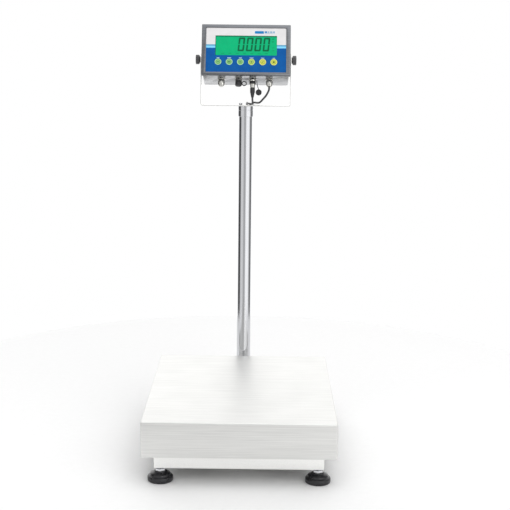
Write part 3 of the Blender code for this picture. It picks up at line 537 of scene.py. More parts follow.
# %% [markdown]
# ## Metals
# Stainless steel is a metal, so its colour is its reflection's tint and its finish is its roughness.
# Sheet is brushed: an abrasive belt leaves fine lines one way, which are far longer than they are
# wide. Real lines are a tenth of a millimetre apart; these are drawn near one millimetre so that
# they show. A wide soft noise adds the cloudiness of handling.

# %% Brushed metal
ALONG_X, ALONG_Y, ALONG_Z = (9, 850, 850), (850, 9, 850), (850, 850, 9)


def metal(name, light, dark, roughness, grain, depth=0.06, spread=0.05, other=None):
    """A brushed metal whose marks are stretched one way, and another way on its side faces."""
    material, tree, shader = new_material(name, Metallic=1.0)
    place = add_node(tree, "TexCoord")

    def marks_along(scale):
        mapping = add_node(tree, "Mapping", {"Vector": place.outputs["Object"], "Scale": scale})
        return noise(tree, mapping.outputs["Vector"], 1.0, Detail=3.0, Roughness=0.6)

    marks = marks_along(grain)
    if other:
        normal = add_node(tree, "SeparateXYZ", {"Vector": place.outputs["Normal"]})
        sideways = add_node(tree, "Math", {0: normal.outputs["X"]}, operation='ABSOLUTE')
        facing = add_node(tree, "Math", {0: sideways.outputs[0], 1: 0.7},
                          operation='GREATER_THAN')
        mixed = add_node(tree, "Mix", {"Factor": facing.outputs[0], "A": marks,
                                       "B": marks_along(other)})
        marks = mixed.outputs["Result"]
    cloud = noise(tree, place.outputs["Object"], 14.0, Detail=2.0)
    tree.links.new(ramp(tree, marks, [(0.3, dark), (0.7, light)]), shader.inputs["Base Color"])
    both = add_node(tree, "Math", {0: marks, 1: 0.6, 2: cloud}, operation='MULTIPLY_ADD')
    uneven_gloss(tree, shader, both.outputs[0], 0.5, 1.1, roughness, spread)
    bumped(tree, shader, marks, depth, 0.0004)
    return material


# Belt-brushed stainless sheet: soft pale reflections drawn out sideways
pan_steel = metal("brushed_stainless_sheet", "#e8e8e6", "#d8d8d6", 0.46, ALONG_X, other=ALONG_Y)
# Bead-blasted stainless: an even satin with no direction. Its near-white tint is painted light,
# a lit copy of the steel that lifts the frame under the pan out of the pan's shadow
satin_steel = metal("bead_blasted_stainless", "#fbfbf9", "#f3f3f1", 0.46, (600, 600, 600), 0.08)
# Polished stainless tube: long bright and dark bands down its length
tube_steel = metal("polished_stainless_tube", "#d6d7da", "#c8c9cc", 0.12, ALONG_Z, 0.03, 0.03)
# Turned stainless collar, brighter than the tube
collar_steel = metal("turned_stainless", "#dcdde0", "#c6c7ca", 0.10, (40, 40, 1500), 0.05, 0.03)
# Pressed stainless strip, as bright as the frame
yoke_steel = metal("satin_stainless_strip", "#f6f6f4", "#ebebe9", 0.36, ALONG_X, other=ALONG_Z)
# Brushed stainless of the indicator's front, coarsely brushed and tinted much darker than the other
# steel
bezel_steel = metal("coarse_brushed_stainless", "#7d7f83", "#67696d", 0.33, (14, 1100, 1100), 0.12)
housing_steel = metal("brushed_stainless_shell", "#b6b7b9", "#a2a3a5", 0.30, ALONG_X)
# Zinc-plated steel fasteners and nickel-plated brass fittings: small, bright and a little warm
zinc_steel = metal("zinc_plated_steel", "#dfe0e2", "#c3c4c8", 0.20, (900, 900, 900), 0.08)
nickel_brass = metal("nickel_plated_brass", "#d9d8d4", "#bdbcb6", 0.16, (700, 700, 700), 0.06)
cell_aluminium = metal("anodised_aluminium", "#d5d8da", "#c2c6c9", 0.36, ALONG_Y)
print("metals:", len([m for m in bpy.data.materials if "stain" in m.name or "plated" in m.name]))

# %% [markdown]
# ## Plastics and rubbers
# A moulded plastic or rubber is a plain colour with a fine texture from its mould. The texture is a
# noise of a few tenths of a millimetre in the bump, and a wider one that varies the gloss a little,
# where hands and dust have been.

# %% Moulded materials
def moulded(name, light, dark, roughness, grain=1500.0, depth=0.15, spread=0.08, **sockets):
    """A moulded surface: slight colour variation, grain in the bump, uneven gloss."""
    material, tree, shader = new_material(name, **sockets)
    place = add_node(tree, "TexCoord").outputs["Object"]
    cloud = noise(tree, place, 70.0, Detail=3.0)
    tree.links.new(ramp(tree, cloud, [(0.3, dark), (0.7, light)]), shader.inputs["Base Color"])
    uneven_gloss(tree, shader, cloud, 0.3, 0.7, roughness, spread)
    bumped(tree, shader, noise(tree, place, grain, Detail=2.0), depth, 0.0002)
    return material


foot_rubber = moulded("moulded_nitrile_rubber", "#26262a", "#17171a", 0.30)
bumper_rubber = moulded("moulded_neoprene", "#2a2a2b", "#1c1c1d", 0.62)
knob_abs = moulded("moulded_black_abs", "#525254", "#434345", 0.38)
cap_rubber = moulded("moulded_black_rubber", "#2b2b2d", "#1d1d1f", 0.45)
clip_nylon = moulded("moulded_black_nylon", "#333335", "#252526", 0.42)
jacket_pvc = moulded("extruded_pvc_jacket", "#3d3d40", "#2c2c2f", 0.38, grain=700.0)
adapter_abs = moulded("moulded_adapter_abs", "#2c2c2e", "#202022", 0.42)
tie_nylon = moulded("woven_nylon_tie", "#2b2b2e", "#1b1b1d", 0.70, grain=900.0, depth=0.5)
battery_abs = moulded("moulded_battery_case", "#38383c", "#2a2a2d", 0.45)
board_laminate = moulded("green_soldermask_laminate", "#1f6b3f", "#164f2e", 0.30)
lcd_frame = moulded("moulded_lcd_frame", "#2f6f48", "#255a3a", 0.40)
# Screen-printed polyester film: a flat, even print under a fine satin texture, with little gloss
PRINT = {"depth": 0.05, "spread": 0.03, "Specular_IOR_Level": 0.12}
film_white = moulded("printed_film_white", "#e3e1e2", "#dddbdc", 0.34, depth=0.05, spread=0.03,
                     Specular_IOR_Level=0.2)
film_mid = moulded("printed_film_mid_blue", "#62a6c8", "#5a9fc0", 0.34, **PRINT)
film_light = moulded("printed_film_light_blue", "#86d5ff", "#7dd1fd", 0.34, **PRINT)
film_blue = moulded("printed_film_blue", "#005aa4", "#005299", 0.34, **PRINT)
film_teal = moulded("printed_film_teal", "#1d86c8", "#1579b8", 0.34, **PRINT)
film_grey = moulded("printed_film_grey_blue", "#8fb3cd", "#86abc6", 0.34, **PRINT)
film_icon = moulded("printed_film_icon", "#2f5d2a", "#284f24", 0.34, **PRINT)
film_legend = moulded("printed_film_legend", "#cfe3f2", "#c3dbee", 0.34, **PRINT)
# A backlit liquid crystal display behind clear acrylic: even green light of its own, dark figures
lcd_green = moulded("backlit_lcd_green", "#02a46c", "#029b66", 0.16, grain=400.0, depth=0.01,
                    spread=0.02, Specular_IOR_Level=0.1, Emission_Color=colour("#03c080"),
                    Emission_Strength=0.2)
DISPLAY = {"depth": 0.01, "spread": 0.02, "Specular_IOR_Level": 0.1}
# A darker green for the painted shade along the display's top and left edges
lcd_edge = moulded("lcd_shaded_edge", "#0a7a55", "#08704d", 0.16, **DISPLAY)
lcd_figure = moulded("lcd_dark_segment", "#026a44", "#015c3a", 0.22, **DISPLAY)
lcd_faint = moulded("lcd_faint_segment", "#039a68", "#029262", 0.22, **DISPLAY)
level_fluid = moulded("tinted_level_fluid", "#c9e24a", "#b9d438", 0.08, depth=0.0, spread=0.02)
level_bubble = moulded("level_bubble", "#f4f9cf", "#e9f2b4", 0.05, depth=0.0, spread=0.02)
print("materials:", len(bpy.data.materials))

# %% [markdown]
# ## The cords' meshes
# Each cord is a tube along its points, in its jacket's material, and it stands for the cord's nodes.

# %% Power cord, its adapter and its tie
def cable(name, points, diameter, upper, lower, *nodes):
    """A jacketed cable along points in millimetres; upper and lower are not used."""
    obj = tube(points, diameter)
    obj.name = obj.data.name = name
    obj.data.transform(BASE)
    obj.data.materials.append(jacket_pvc)
    bpy.ops.object.shade_smooth_by_angle(angle=radians(50))
    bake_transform(obj)
    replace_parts(obj, *nodes)
    return obj


cord = cable("power_cord_coiled", cord_points, CORD_DIAMETER, 786, 748, "power_cord",
             "power_cord_coil")

ADAPTER_LOW, ADAPTER_HIGH = corners("power_adapter")
CASE_TALL, RELIEF = 27, 22
case_x = ADAPTER_HIGH.x - RELIEF
case = block((ADAPTER_LOW.x, ADAPTER_LOW.y, 0), (case_x, ADAPTER_HIGH.y, CASE_TALL))
edit(case)
bpy.ops.mesh.bisect(plane_co=(0, 0, CASE_TALL / 2 * MM), plane_no=(0, 0, 1))
leave()
bevel(case, 2.5, 4)
edit(case, test=lambda c, n: abs(n.z) > 0.9 and c.z > 20)
bpy.ops.mesh.inset(thickness=4 * MM)
bpy.ops.mesh.extrude_region_move(TRANSFORM_OT_translate={"value": (0, 0, -0.6 * MM)})
leave()
ribs = [(0, 0)]
for k in range(6):                    # the relief narrows in ribs that let it bend evenly
    reach, h = 5.2 - 0.32 * k, 3.6 * k
    ribs += [(reach, h), (reach, h + 2.2), (reach - 0.9, h + 2.5), (reach - 0.9, h + 3.4)]
ribs += [(3.1, RELIEF - 0.6), (2.6, RELIEF), (0, RELIEF)]
relief = turned(ribs, (case_x - 0.5, REAR_Y, 6.9), TURN_X, steps=32)
case.data.materials.append(adapter_abs)
relief.data.materials.append(adapter_abs)
pins = []
pin_x = (ADAPTER_LOW.x + case_x) / 2
for s in (-1, 1):
    pin = block((pin_x - 3.2, REAR_Y + s * 6.35 - 0.8, CASE_TALL - 1),
                (pin_x + 3.2, REAR_Y + s * 6.35 + 0.8, ADAPTER_HIGH.z))
    pins.append(bevel(pin, 0.5, 2))
    pin.data.materials.append(nickel_brass)
adapter = together(case, relief, *pins)
finish(adapter, "wall_plug_adapter", "base", adapter_abs, replaces="power_adapter")

band = turned([(6.6, -4), (7.3, -4), (7.3, 4), (6.6, 4), (6.6, -4)], steps=24)
pick(band)
band.scale = (1.24, 0.76, 1)
bpy.ops.object.transform_apply(location=False, rotation=False, scale=True)
settle(band, Matrix.Translation(Vector((COIL_X, COIL_Y - 27, 5.55)) * MM)
       @ Matrix.Rotation(pi / 2, 4, 'Z') @ TURN_BACK)
finish(band, "coil_tie", "base", tie_nylon)

# %% The load cell's lead
lead = cable("load_cell_lead_clipped", lead_points, LEAD_DIAMETER, 761, 747.5, "load_cell_lead")
print("cords:", len(cord.data.polygons), "and", len(lead.data.polygons), "faces")

# %% [markdown]
# ## Weighing pan
# The pan is one sheet of stainless steel, its four skirts folded down and its corners welded and
# ground round. It could be a solid block with a hollow, but a folded sheet is made the other way
# round: a box without its bottom gets its rounded folds first and its thickness afterwards.

# %% The pan
pan = block((-200, 0, 63), (200, 500, 138))
edit(pan, test=lambda c, n: n.z < -0.9)
bpy.ops.mesh.delete(type='ONLY_FACE')
leave()
bevel(pan, 3.5, 8)
apply_modifier(pan, 'SOLIDIFY', thickness=2 * MM, offset=-1, use_even_offset=True)
bevel(pan, 0.3, 2, angle=60)
finish(pan, "weighing_pan", "platter", pan_steel, replaces="pan")

# %% [markdown]
# ## Frames under the pan
# The base is a welded ring of inverted channel, and the frame that carries the pan is pressed
# sheet. Both keep the shape of the frame's nodes; what they lack is the small radius of a bent or
# ground edge, so each is a refined copy.

# %% Base, carrying frame, load cell and spacers
for node, width, name, body, material, slot in (
        ("base_frame", 0.7, "welded_base_ring", "base", satin_steel, "frame_steel"),
        ("load_frame", 0.7, "pressed_carrying_frame", "platform", satin_steel, "frame_steel"),
        ("load_cell", 0.4, "single_point_cell", "base", cell_aluminium, "cell_aluminium"),
        ("cell_spacer_lower", 0.3, "cell_shim", "base", satin_steel, "frame_steel"),
        ("cell_spacer_upper", 0.4, "cell_riser", "platform", satin_steel, "frame_steel")):
    finish(refined(node, width), name, body, material, HOME, replaces=node)

# %% [markdown]
# ## Levelling feet
# A foot is a moulded rubber pad, a zinc-plated stud with a hexagon to turn it by, and a locknut.
# Pad and stud are turned; the stud's thread is drawn as rings a pitch apart, which look the same as
# a helix at this size and keep the piece simple. One foot is made and copied three times.

# %% The feet
pad_line = [(0, 14), (6.3, 14), (6.3, 20), (12.2, 20), (13.2, 19.7), (20.2, 16.4), (21.2, 15.2),
            (21.6, 12.6), (22.6, 11.6), (24.2, 11.2), (25.6, 10.4), (26.3, 9.2), (26.5, 7.6),
            (26.5, 2.2), (26.1, 0.8), (25.2, 0), (0, 0)]
FEET = [(-163, 40), (163, 40), (-163, 460), (163, 460)]
first_x, first_y = FEET[0]
pad = turned(pad_line, (first_x, first_y, 0), steps=64)
finish(pad, "rubber_pad_1", "foot_1", foot_rubber, replaces="foot_pad_1")
stud = turned([(0, 74), (4.6, 74)] + thread(6, 14.3, 73) + [(0, 14.3)],
              (first_x, first_y, 0), steps=32)
stud_hex = hexagon((first_x, first_y, 20.6), (first_x, first_y, 26.6), 19)
finish(together(stud, stud_hex), "threaded_stud_1", "adjuster_1", zinc_steel,
       replaces="foot_stud_1")
nut = hexagon((first_x, first_y, 29.3), (first_x, first_y, 33.7), 19, bore=6.2)
finish(nut, "locknut_1", "base", zinc_steel, replaces="foot_locknut_1")
for i, (x, y) in enumerate(FEET[1:], 2):
    shift = (x - first_x, y - first_y, 0)
    copied(pad, shift, f"rubber_pad_{i}", f"foot_{i}", f"foot_pad_{i}")
    copied(stud, shift, f"threaded_stud_{i}", f"adjuster_{i}", f"foot_stud_{i}")
    copied(nut, shift, f"locknut_{i}", "base", f"foot_locknut_{i}")

# %% Bumpers, bubble level and base gland
BUMPERS = [(-130, 63), (130, 63), (-130, 437), (130, 437)]
start_x, start_y = BUMPERS[0]
bumper = turned([(0, 135.7), (4, 135.7), (4.4, 134.9), (13.4, 135.6), (14.6, 135.1), (15, 134.2),
                 (15, 132), (14.6, 131.3), (0, 131.3)], (start_x, start_y, 0), steps=40)
finish(bumper, "rubber_bumper_1", "platform", bumper_rubber, replaces="bumper_1")
for i, (x, y) in enumerate(BUMPERS[1:], 2):
    copied(bumper, (x - start_x, y - start_y, 0), f"rubber_bumper_{i}", "platform", f"bumper_{i}")

LEVEL_X, LEVEL_Y = 94.5, 467
level = turned([(0, 83.6), (1.6, 84.2), (2.6, 84.2), (6.2, 84.0), (6.6, 85.2), (7.2, 85.3),
                (8.6, 84.6), (9, 83.4), (9, 76.3), (0, 76.3)], (LEVEL_X, LEVEL_Y, 0), steps=40)


def level_ink(middle):
    """The bubble in the middle, the fluid around it, and the rim."""
    reach = hypot(middle.x - LEVEL_X, middle.y - LEVEL_Y)
    return 0 if middle.z <= 83.4 or reach >= 6.4 else 2 if reach < 2.3 else 1


inked(level, (cap_rubber, level_fluid, level_bubble), level_ink)
finish(level, "round_bubble_level", "base", cap_rubber, replaces="bubble_level")

gland_body = turned([(2.5, 24), (4.2, 24), (5.2, 23.2), (6.4, 20), (6.5, 19), (6.5, 7.5), (5.9, 7),
                     (5.9, 6.6), (2.5, 6.6), (2.5, 24)], (-60, 482.3, 50), TURN_BACK)
gland_hex = hexagon((-60, 482.3, 50), (-60, 488.9, 50), 14.6, bore=2.5)
finish(together(gland_body, gland_hex), "base_lead_gland", "base", nickel_brass,
       replaces="base_cable_gland")

# %% [markdown]
# ## Column
# The column is a polished stainless tube in a welded foot bracket, with a turned collar on top. The
# bands of light down the tube come from its roundness and the studio, so the mesh only has to be
# truly round: ninety-six sides, and short chamfers at the ends.

# %% Tube, collar, bracket and clips
tube_piece = turned([(14.5, 44.3), (16.1, 44.3), (16.5, 44.7), (16.5, 731.3), (16.1, 731.7),
                     (14.5, 731.7), (14.5, 44.3)], (0, COLUMN_Y, 0), steps=96)
finish(tube_piece, "column_pipe", "base", tube_steel, replaces="column_tube")
collar = turned([(16.8, 715), (18.0, 715), (18.5, 715.5), (18.5, 729.6), (18.1, 730), (18.1, 731),
                 (18.5, 731.4), (18.5, 739.3), (17.9, 740), (0, 740), (0, 732), (16.8, 732),
                 (16.8, 715)],
                (0, COLUMN_Y, 0), steps=96)
boolean(collar, [rod((s * 12, COLUMN_Y, 730), (s * 12, COLUMN_Y, 742), 2.8, 24) for s in (-1, 1)])
finish(collar, "turned_collar", "base", collar_steel, replaces="column_collar")
finish(refined("column_base", 0.8), "column_bracket", "base", satin_steel, HOME,
       replaces="column_base")
for i in (1, 2):
    for node, width, segments, name, material, slot in (
            ("bracket_bolt", 0.3, 2, "bracket_screw", zinc_steel, "bolt_steel"),
            ("yoke_bolt", 0.2, 2, "yoke_screw", zinc_steel, "bolt_steel"),
            ("cable_clip", 0.7, 3, "two_way_clip", clip_nylon, "clip_plastic")):
        finish(refined(f"{node}_{i}", width, segments), f"{name}_{i}", "base", material, HOME,
               replaces=f"{node}_{i}")

# %% [markdown]
# ## Yoke
# The yoke is one strip, bent up at both ends, with round ends and a hole for each clamp knob. It is
# drawn as it is bent: half a strip as a flat plane, its end edge extruded around the bend and up the
# arm, narrowing step by step into the round end, then mirrored and given its thickness.

# %% The yoke
STRAP_Z, ARM_X, BEND, ARM_END = 740.3, 106.5, 6, 15
clear()
bpy.ops.mesh.primitive_plane_add(size=1)
yoke = bpy.context.object
yoke.scale = ((ARM_X - BEND) * MM, 40 * MM, 1)
yoke.location = Vector(((ARM_X - BEND) / 2, COLUMN_Y, STRAP_Z)) * MM
settle(yoke)
line = [(ARM_X - BEND + BEND * sin(radians(a)), STRAP_Z + BEND - BEND * cos(radians(a)), 20)
        for a in range(10, 91, 10)]
line += [(ARM_X, PIVOT_Z + ARM_END * sin(radians(a)), ARM_END * cos(radians(a)))
         for a in range(0, 85, 6)]
edit(yoke, 'EDGE', lambda *ends: all(p.x > ARM_X - BEND - 1 for p in ends))
here = (ARM_X - BEND, STRAP_Z, 20)
for x, z, half in line:
    bpy.ops.mesh.extrude_region_move(
        TRANSFORM_OT_translate={"value": Vector((x - here[0], 0, z - here[1])) * MM})
    if half != here[2]:
        bpy.ops.transform.resize(value=(1, half / here[2], 1))
    here = (x, z, half)
leave()
apply_modifier(yoke, 'MIRROR', use_axis=(True, False, False), merge_threshold=0.00001)
edit(yoke)
bpy.ops.mesh.normals_make_consistent(inside=False)
leave()
strap_normal = min(yoke.data.polygons, key=lambda p: p.center.z).normal.z
apply_modifier(yoke, 'SOLIDIFY', thickness=2 * MM, offset=1 if strap_normal > 0 else -1,
               use_even_offset=True)
boolean(yoke, [rod((-110, COLUMN_Y, PIVOT_Z), (110, COLUMN_Y, PIVOT_Z), 3.3)]
        + [rod((s * 12, COLUMN_Y, 738), (s * 12, COLUMN_Y, 746), 2.8, 24) for s in (-1, 1)])
bevel(yoke, 0.35, 2, angle=50)
finish(yoke, "bent_yoke", "base", yoke_steel, replaces="yoke")

# %% [markdown]
# ## Indicator: front frame and rear shell
# The front is a shallow stainless tray and the rear a deep drawn shell that fits behind it. Both are
# refined copies. Inside are the display's module, a circuit board and a battery, which show only
# through the gaps, so they keep their nodes and get their own materials.

# %% Bezel, housing and what is inside
for node, name, width, angle, steel in (("bezel", "front_frame", 0.25, 40, bezel_steel),
                                        ("housing", "rear_shell", 0.3, 50, housing_steel)):
    finish(refined(node, width, angle=angle), name, "indicator", steel, HOME,
           replaces=node)
for node, material in (("lcd_module", lcd_frame), ("main_board", board_laminate),
                       ("battery", battery_abs)):
    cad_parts[node].data.materials.clear()
    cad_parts[node].data.materials.append(material)

# %% [markdown]
# ## Printed overlay
# The overlay is one polyester film, printed white above and blue below, with two pale stripes
# between. The bands are cut into the slab with bisects, so each face has one ink, and the window and
# the keys' holes are then cut through it.

# %% The overlay
OVER_LOW, OVER_TOP, OVER_FRONT, OVER_BACK = 7.4, 117.9, 0.9, 2.3
BANDS = (OVER_TOP - 41.7, OVER_TOP - 45.5, OVER_TOP - 50.2)
WINDOW_LOW, WINDOW_TOP, WINDOW_HALF = 49.5, 98.6, 71.7
KEY_U, KEY_RADIUS = 32.9, 7.8
KEY_XS = [(i - 2.5) * 26 for i in range(6)]
overlay = edit(slab(187, OVER_LOW, OVER_TOP, OVER_FRONT, OVER_BACK), 'EDGE', crosswise(1))
bpy.ops.mesh.bevel(offset=3 * MM, segments=6, affect='EDGES')
for band in BANDS:
    bpy.ops.mesh.select_all(action='SELECT')
    bpy.ops.mesh.bisect(plane_co=face(0, band, 0) * MM, plane_no=(0, 0, 1))
leave()
boolean(overlay, [slab(2 * WINDOW_HALF + 0.6, WINDOW_LOW - 0.3, WINDOW_TOP + 0.3, 0, 4)]
        + [rod(face(x, KEY_U, 0), face(x, KEY_U, 4), KEY_RADIUS + 0.3, 48) for x in KEY_XS])
inked(overlay, (film_white, film_mid, film_light, film_blue),
      lambda middle: sum(middle.z + PIVOT_U < band for band in BANDS))
finish(overlay, "printed_overlay", "indicator", film_white, HEAD, angle=30,
       replaces="overlay")

# %% [markdown]
# ## Display
# The display is a clear window over a backlit liquid crystal panel. Its light comes from behind, so
# the panel glows evenly and its figures only block it. The glass and panel are drawn as one plate
# with a glossy face; a darker strip along its top and a narrow one down its left side are painted
# shade, the shadow of the window's frame.

# %% The window and its figures
SHADE_U, SHADE_X = WINDOW_TOP - 3, -WINDOW_HALF + 1.2
window = edit(slab(2 * WINDOW_HALF, WINDOW_LOW, WINDOW_TOP, OVER_FRONT, OVER_BACK), 'EDGE',
              crosswise(1))
bpy.ops.mesh.bevel(offset=2.2 * MM, segments=6, affect='EDGES')
for place, along in ((face(0, SHADE_U, 0), (0, 0, 1)), (face(SHADE_X, 0, 0), (1, 0, 0))):
    bpy.ops.mesh.select_all(action='SELECT')
    bpy.ops.mesh.bisect(plane_co=place * MM, plane_no=along)
leave()
# The strip above SHADE_U and the strip left of SHADE_X take the darker green: painted shade of the
# window's frame
inked(window, (lcd_green, lcd_edge),
      lambda middle: middle.z + PIVOT_U > SHADE_U or middle.x < SHADE_X)
finish(window, "backlit_window", "indicator", lcd_green, HEAD,
       replaces="display_window")

FIGURE_LOW, FIGURE_HIGH, FIGURE_WIDE, PITCH_X, FIRST_X, STROKE = 59.6, 94.0, 15.0, 19.5, -18.6, 4.0
SLANT = 0.10
PLATE = (OVER_FRONT - 0.12, OVER_FRONT + 0.1)


def plate(x0, x1, u0, u1, material, round_by=0.3):
    """A thin printed mark or display segment."""
    obj = edit(block(face(x0, u0, PLATE[0]), face(x1, u1, PLATE[1])), 'EDGE', crosswise(0.1))
    bpy.ops.mesh.bevel(offset=round_by * MM, segments=2, affect='EDGES')
    leave()
    obj.data.materials.append(material)
    return obj


# A nought is a rounded ring of six segments, with a gap where the upper and lower halves meet
nought = plate(0, FIGURE_WIDE, FIGURE_LOW, FIGURE_HIGH, lcd_figure, 2.4)
hole = slab(FIGURE_WIDE - 2 * STROKE, FIGURE_LOW + STROKE, FIGURE_HIGH - STROKE, 0, 3,
            x=FIGURE_WIDE / 2)
middle = (FIGURE_LOW + FIGURE_HIGH) / 2
gap = slab(FIGURE_WIDE + 4, middle - 0.9, middle + 0.9, 0, 3, x=FIGURE_WIDE / 2)
boolean(nought, [hole, gap])
lean = Matrix.Identity(4)
lean[0][2] = SLANT
centre_z = (middle - PIVOT_U) * MM
nought.data.transform(Matrix.Translation((0, 0, centre_z)) @ lean @ Matrix.Translation(
    (0, 0, -centre_z)))
figures = []
for i in range(4):
    figures.append(twin(nought, (FIRST_X + i * PITCH_X, 0, 0)))
bpy.data.objects.remove(nought)
for u in (90, 83, 68, 61):                     # unit marks beside the figures
    figures.append(plate(60.5, 64.5 if u > 70 else 66, u, u + 1.5,
                         lcd_faint if u < 70 else lcd_figure))
for i in range(7):                             # the faint row of annunciators under them
    figures.append(plate(-58 + i * 17, -51 + i * 17, 53.2, 54.7, lcd_faint))
finish(together(*figures), "display_figures", "indicator", lcd_figure, HEAD)

# %% [markdown]
# ## Keys
# Six domed keys are embossed in the film, each printed with a round fade from a pale rim to a deep
# green centre and a small dark sign. The fade follows the key's own radius, so it is kept in a UV
# map: its first number is the distance from the key's middle.

# %% Key material, one key and its copies
def key_film(name, centre, middle_tone, edge_tone, rim):
    """Domed printed film, its inks faded by the radius in the UV map."""
    material, tree, shader = new_material(name, Roughness=0.22)
    uv = add_node(tree, "UVMap", uv_map="radius")
    split = add_node(tree, "SeparateXYZ", {"Vector": uv.outputs["UV"]})
    fine = noise(tree, add_node(tree, "TexCoord").outputs["Object"], 900.0)
    reach = add_node(tree, "Math", {0: fine, 1: 0.04, 2: split.outputs["X"]},
                     operation='MULTIPLY_ADD')
    fade = ramp(tree, reach.outputs[0], [(0.0, centre), (0.45, middle_tone), (0.76, edge_tone),
                                         (0.84, rim), (1.0, rim)])
    tree.links.new(fade, shader.inputs["Base Color"])
    bumped(tree, shader, fine, 0.05, 0.0002)
    return material


KEY_FILMS = (
    [key_film("key_film_green", "#5fae7c", "#7db766", "#5c9a4e", "#a6dca6")] * 3
    + [key_film("key_film_lime", "#74b068", "#a8c552", "#86a540", "#cbe27e")]
    + [key_film("key_film_yellow", "#a9b84c", "#c9cf46", "#98a238", "#e4e76a")] * 2)
KEY_LINE = [(0, 1.9), (7.8, 1.9), (7.8, 0.75), (7.6, 0.55), (7.0, 0.5), (6.5, 0.62), (6.1, 0.66),
            (5.2, 0.52), (3.6, 0.43), (1.8, 0.4), (0, 0.4)]
dome = turned(KEY_LINE, face(0, KEY_U, 0), TURN_BACK, steps=48)
key_middle = face(0, KEY_U, 0) * MM
radius_map = dome.data.uv_layers.new(name="radius")
for loop in dome.data.loops:
    p = dome.data.vertices[loop.vertex_index].co
    reach = hypot(p.x, p.z - key_middle.z) / (KEY_RADIUS * MM)
    radius_map.data[loop.index].uv = (reach, 0.5)
SIGNS = (((-2.6, 2.6, -0.5, 0.5),), ((-2.4, -0.6, -2, 2), (0.6, 2.4, -2, 2)),
         ((-2.6, 2.6, 0.6, 1.7), (-2.6, 2.6, -1.7, -0.6)),
         ((-0.55, 0.55, -2.4, 2.4), (-2.4, 2.4, -0.55, 0.55)),
         ((-2.6, 0, -2, -0.9), (-0.4, 2.6, 0.5, 1.6)), ((-2, 2, -2, 2),))
for i, x in enumerate(KEY_XS):
    key = twin(dome, (x, 0, 0))
    key.data.materials.append(KEY_FILMS[i])
    signs = []
    for x0, x1, u0, u1 in SIGNS[i]:
        sign = block(face(x + x0, KEY_U + u0, 0.36), face(x + x1, KEY_U + u1, 0.9))
        bevel(sign, 0.15, 1)
        sign.data.materials.append(film_icon)
        signs.append(sign)
    finish(together(key, *signs), f"domed_key_{i + 1}", f"key_button_{i + 1}", KEY_FILMS[i],
           HEAD, replaces=f"key_{i + 1}")
bpy.data.objects.remove(dome)

# Small marks printed over the keys, and a plain mark of bars at the upper right
marks = []
for i, x in enumerate(KEY_XS):
    wide = (3.2, 4.2, 3.6, 4.4, 3.8, 3.0)[i]
    marks.append(plate(x - wide, x + wide, 42.1, 43.4, film_legend, 0.2))
marks.append(plate(20, 41, 104.2, 110.6, film_teal, 1.0))
for x0, x1 in ((43, 49), (50.4, 54), (55.4, 61), (62.4, 67)):
    marks.append(plate(x0, x1, 106.2, 110.2, film_teal if x0 < 50 else film_grey, 0.4))
marks.append(plate(43, 67, 104.0, 104.9, film_grey, 0.2))
finish(together(*marks), "overlay_marks", "indicator", film_legend, HEAD)

# %% [markdown]
# ## Clamp knobs
# The knobs are moulded plastic on steel shanks. Each is turned with a narrow neck towards the yoke,
# and its twelve grip flutes are pressed in afterwards by moving the points of the wide part inwards
# wherever a flute passes.

# %% The knobs
KNOB_IN, KNOB_OUT, FLUTES = 106.8, 118.3, 12
for name, s in (("left", -1), ("right", 1)):
    knob = turned([(0, 96), (3, 96), (3, KNOB_IN), (7.2, KNOB_IN), (7.2, KNOB_IN + 1.8),
                   (9.6, KNOB_IN + 2.6), (10.8, KNOB_IN + 3.4), (11, KNOB_IN + 4.2),
                   (11, KNOB_IN + 7), (11, KNOB_OUT - 1.2), (10.4, KNOB_OUT - 0.4), (9.4, KNOB_OUT),
                   (7.2, KNOB_OUT), (6.6, KNOB_OUT - 0.7), (0, KNOB_OUT - 0.9)], steps=120)
    for v in knob.data.vertices:
        reach = hypot(v.co.x, v.co.y)
        if reach > 9 * MM:
            wave = (1 + cos(FLUTES * atan2(v.co.y, v.co.x))) / 2
            shrink = 1 - 0.7 / 11 * wave ** 2
            v.co.x, v.co.y = v.co.x * shrink, v.co.y * shrink
    inked(knob, (knob_abs, zinc_steel), lambda middle: middle.z < KNOB_IN - 0.01
          and hypot(middle.x, middle.y) < 3.1)
    turn = TURN_X if s > 0 else Matrix.Rotation(-pi / 2, 4, 'Y')
    finish(knob, f"fluted_knob_{name}", f"{name}_knob", knob_abs, HEAD @ turn,
           replaces=f"knob_{name}")

# %% [markdown]
# ## Fittings under the indicator
# A blanked gland, a data socket with its cap and loop, the load cell's socket with its plug, and the
# gland of the power cord. All are turned from nickel-plated brass; a grip is a ring of flats or
# ridges. They hang from holes in the shell's underside, where u is 3.7.

# %% Glands
UNDER, FITTING_B = 3.7, 26
BLANK_X, DATA_X, CELL_X, POWER_X = -57, -17, 16, 55


def fitting(profile, x, steps=48):
    """A turned fitting under the shell; heights are below its underside."""
    return turned(profile, face(x, UNDER, FITTING_B), steps=steps)


def ridged(obj, x, low, high, reach, count, depth, top=UNDER):
    """Presses ridges into the part of a turned piece that is as wide as a reach."""
    middle = face(x, top, FITTING_B) * MM
    for v in obj.data.vertices:
        p = v.co - middle
        if low * MM <= p.z <= high * MM and hypot(p.x, p.y) > (reach - 0.2) * MM:
            scale = 1 - depth / reach * (1 + cos(count * atan2(p.y, p.x))) / 2
            v.co.x, v.co.y = middle.x + p.x * scale, middle.y + p.y * scale
    return obj


def brass(obj, name, node):
    """Finishes a plated brass fitting."""
    return finish(obj, name, "indicator", nickel_brass, HEAD, replaces=node)


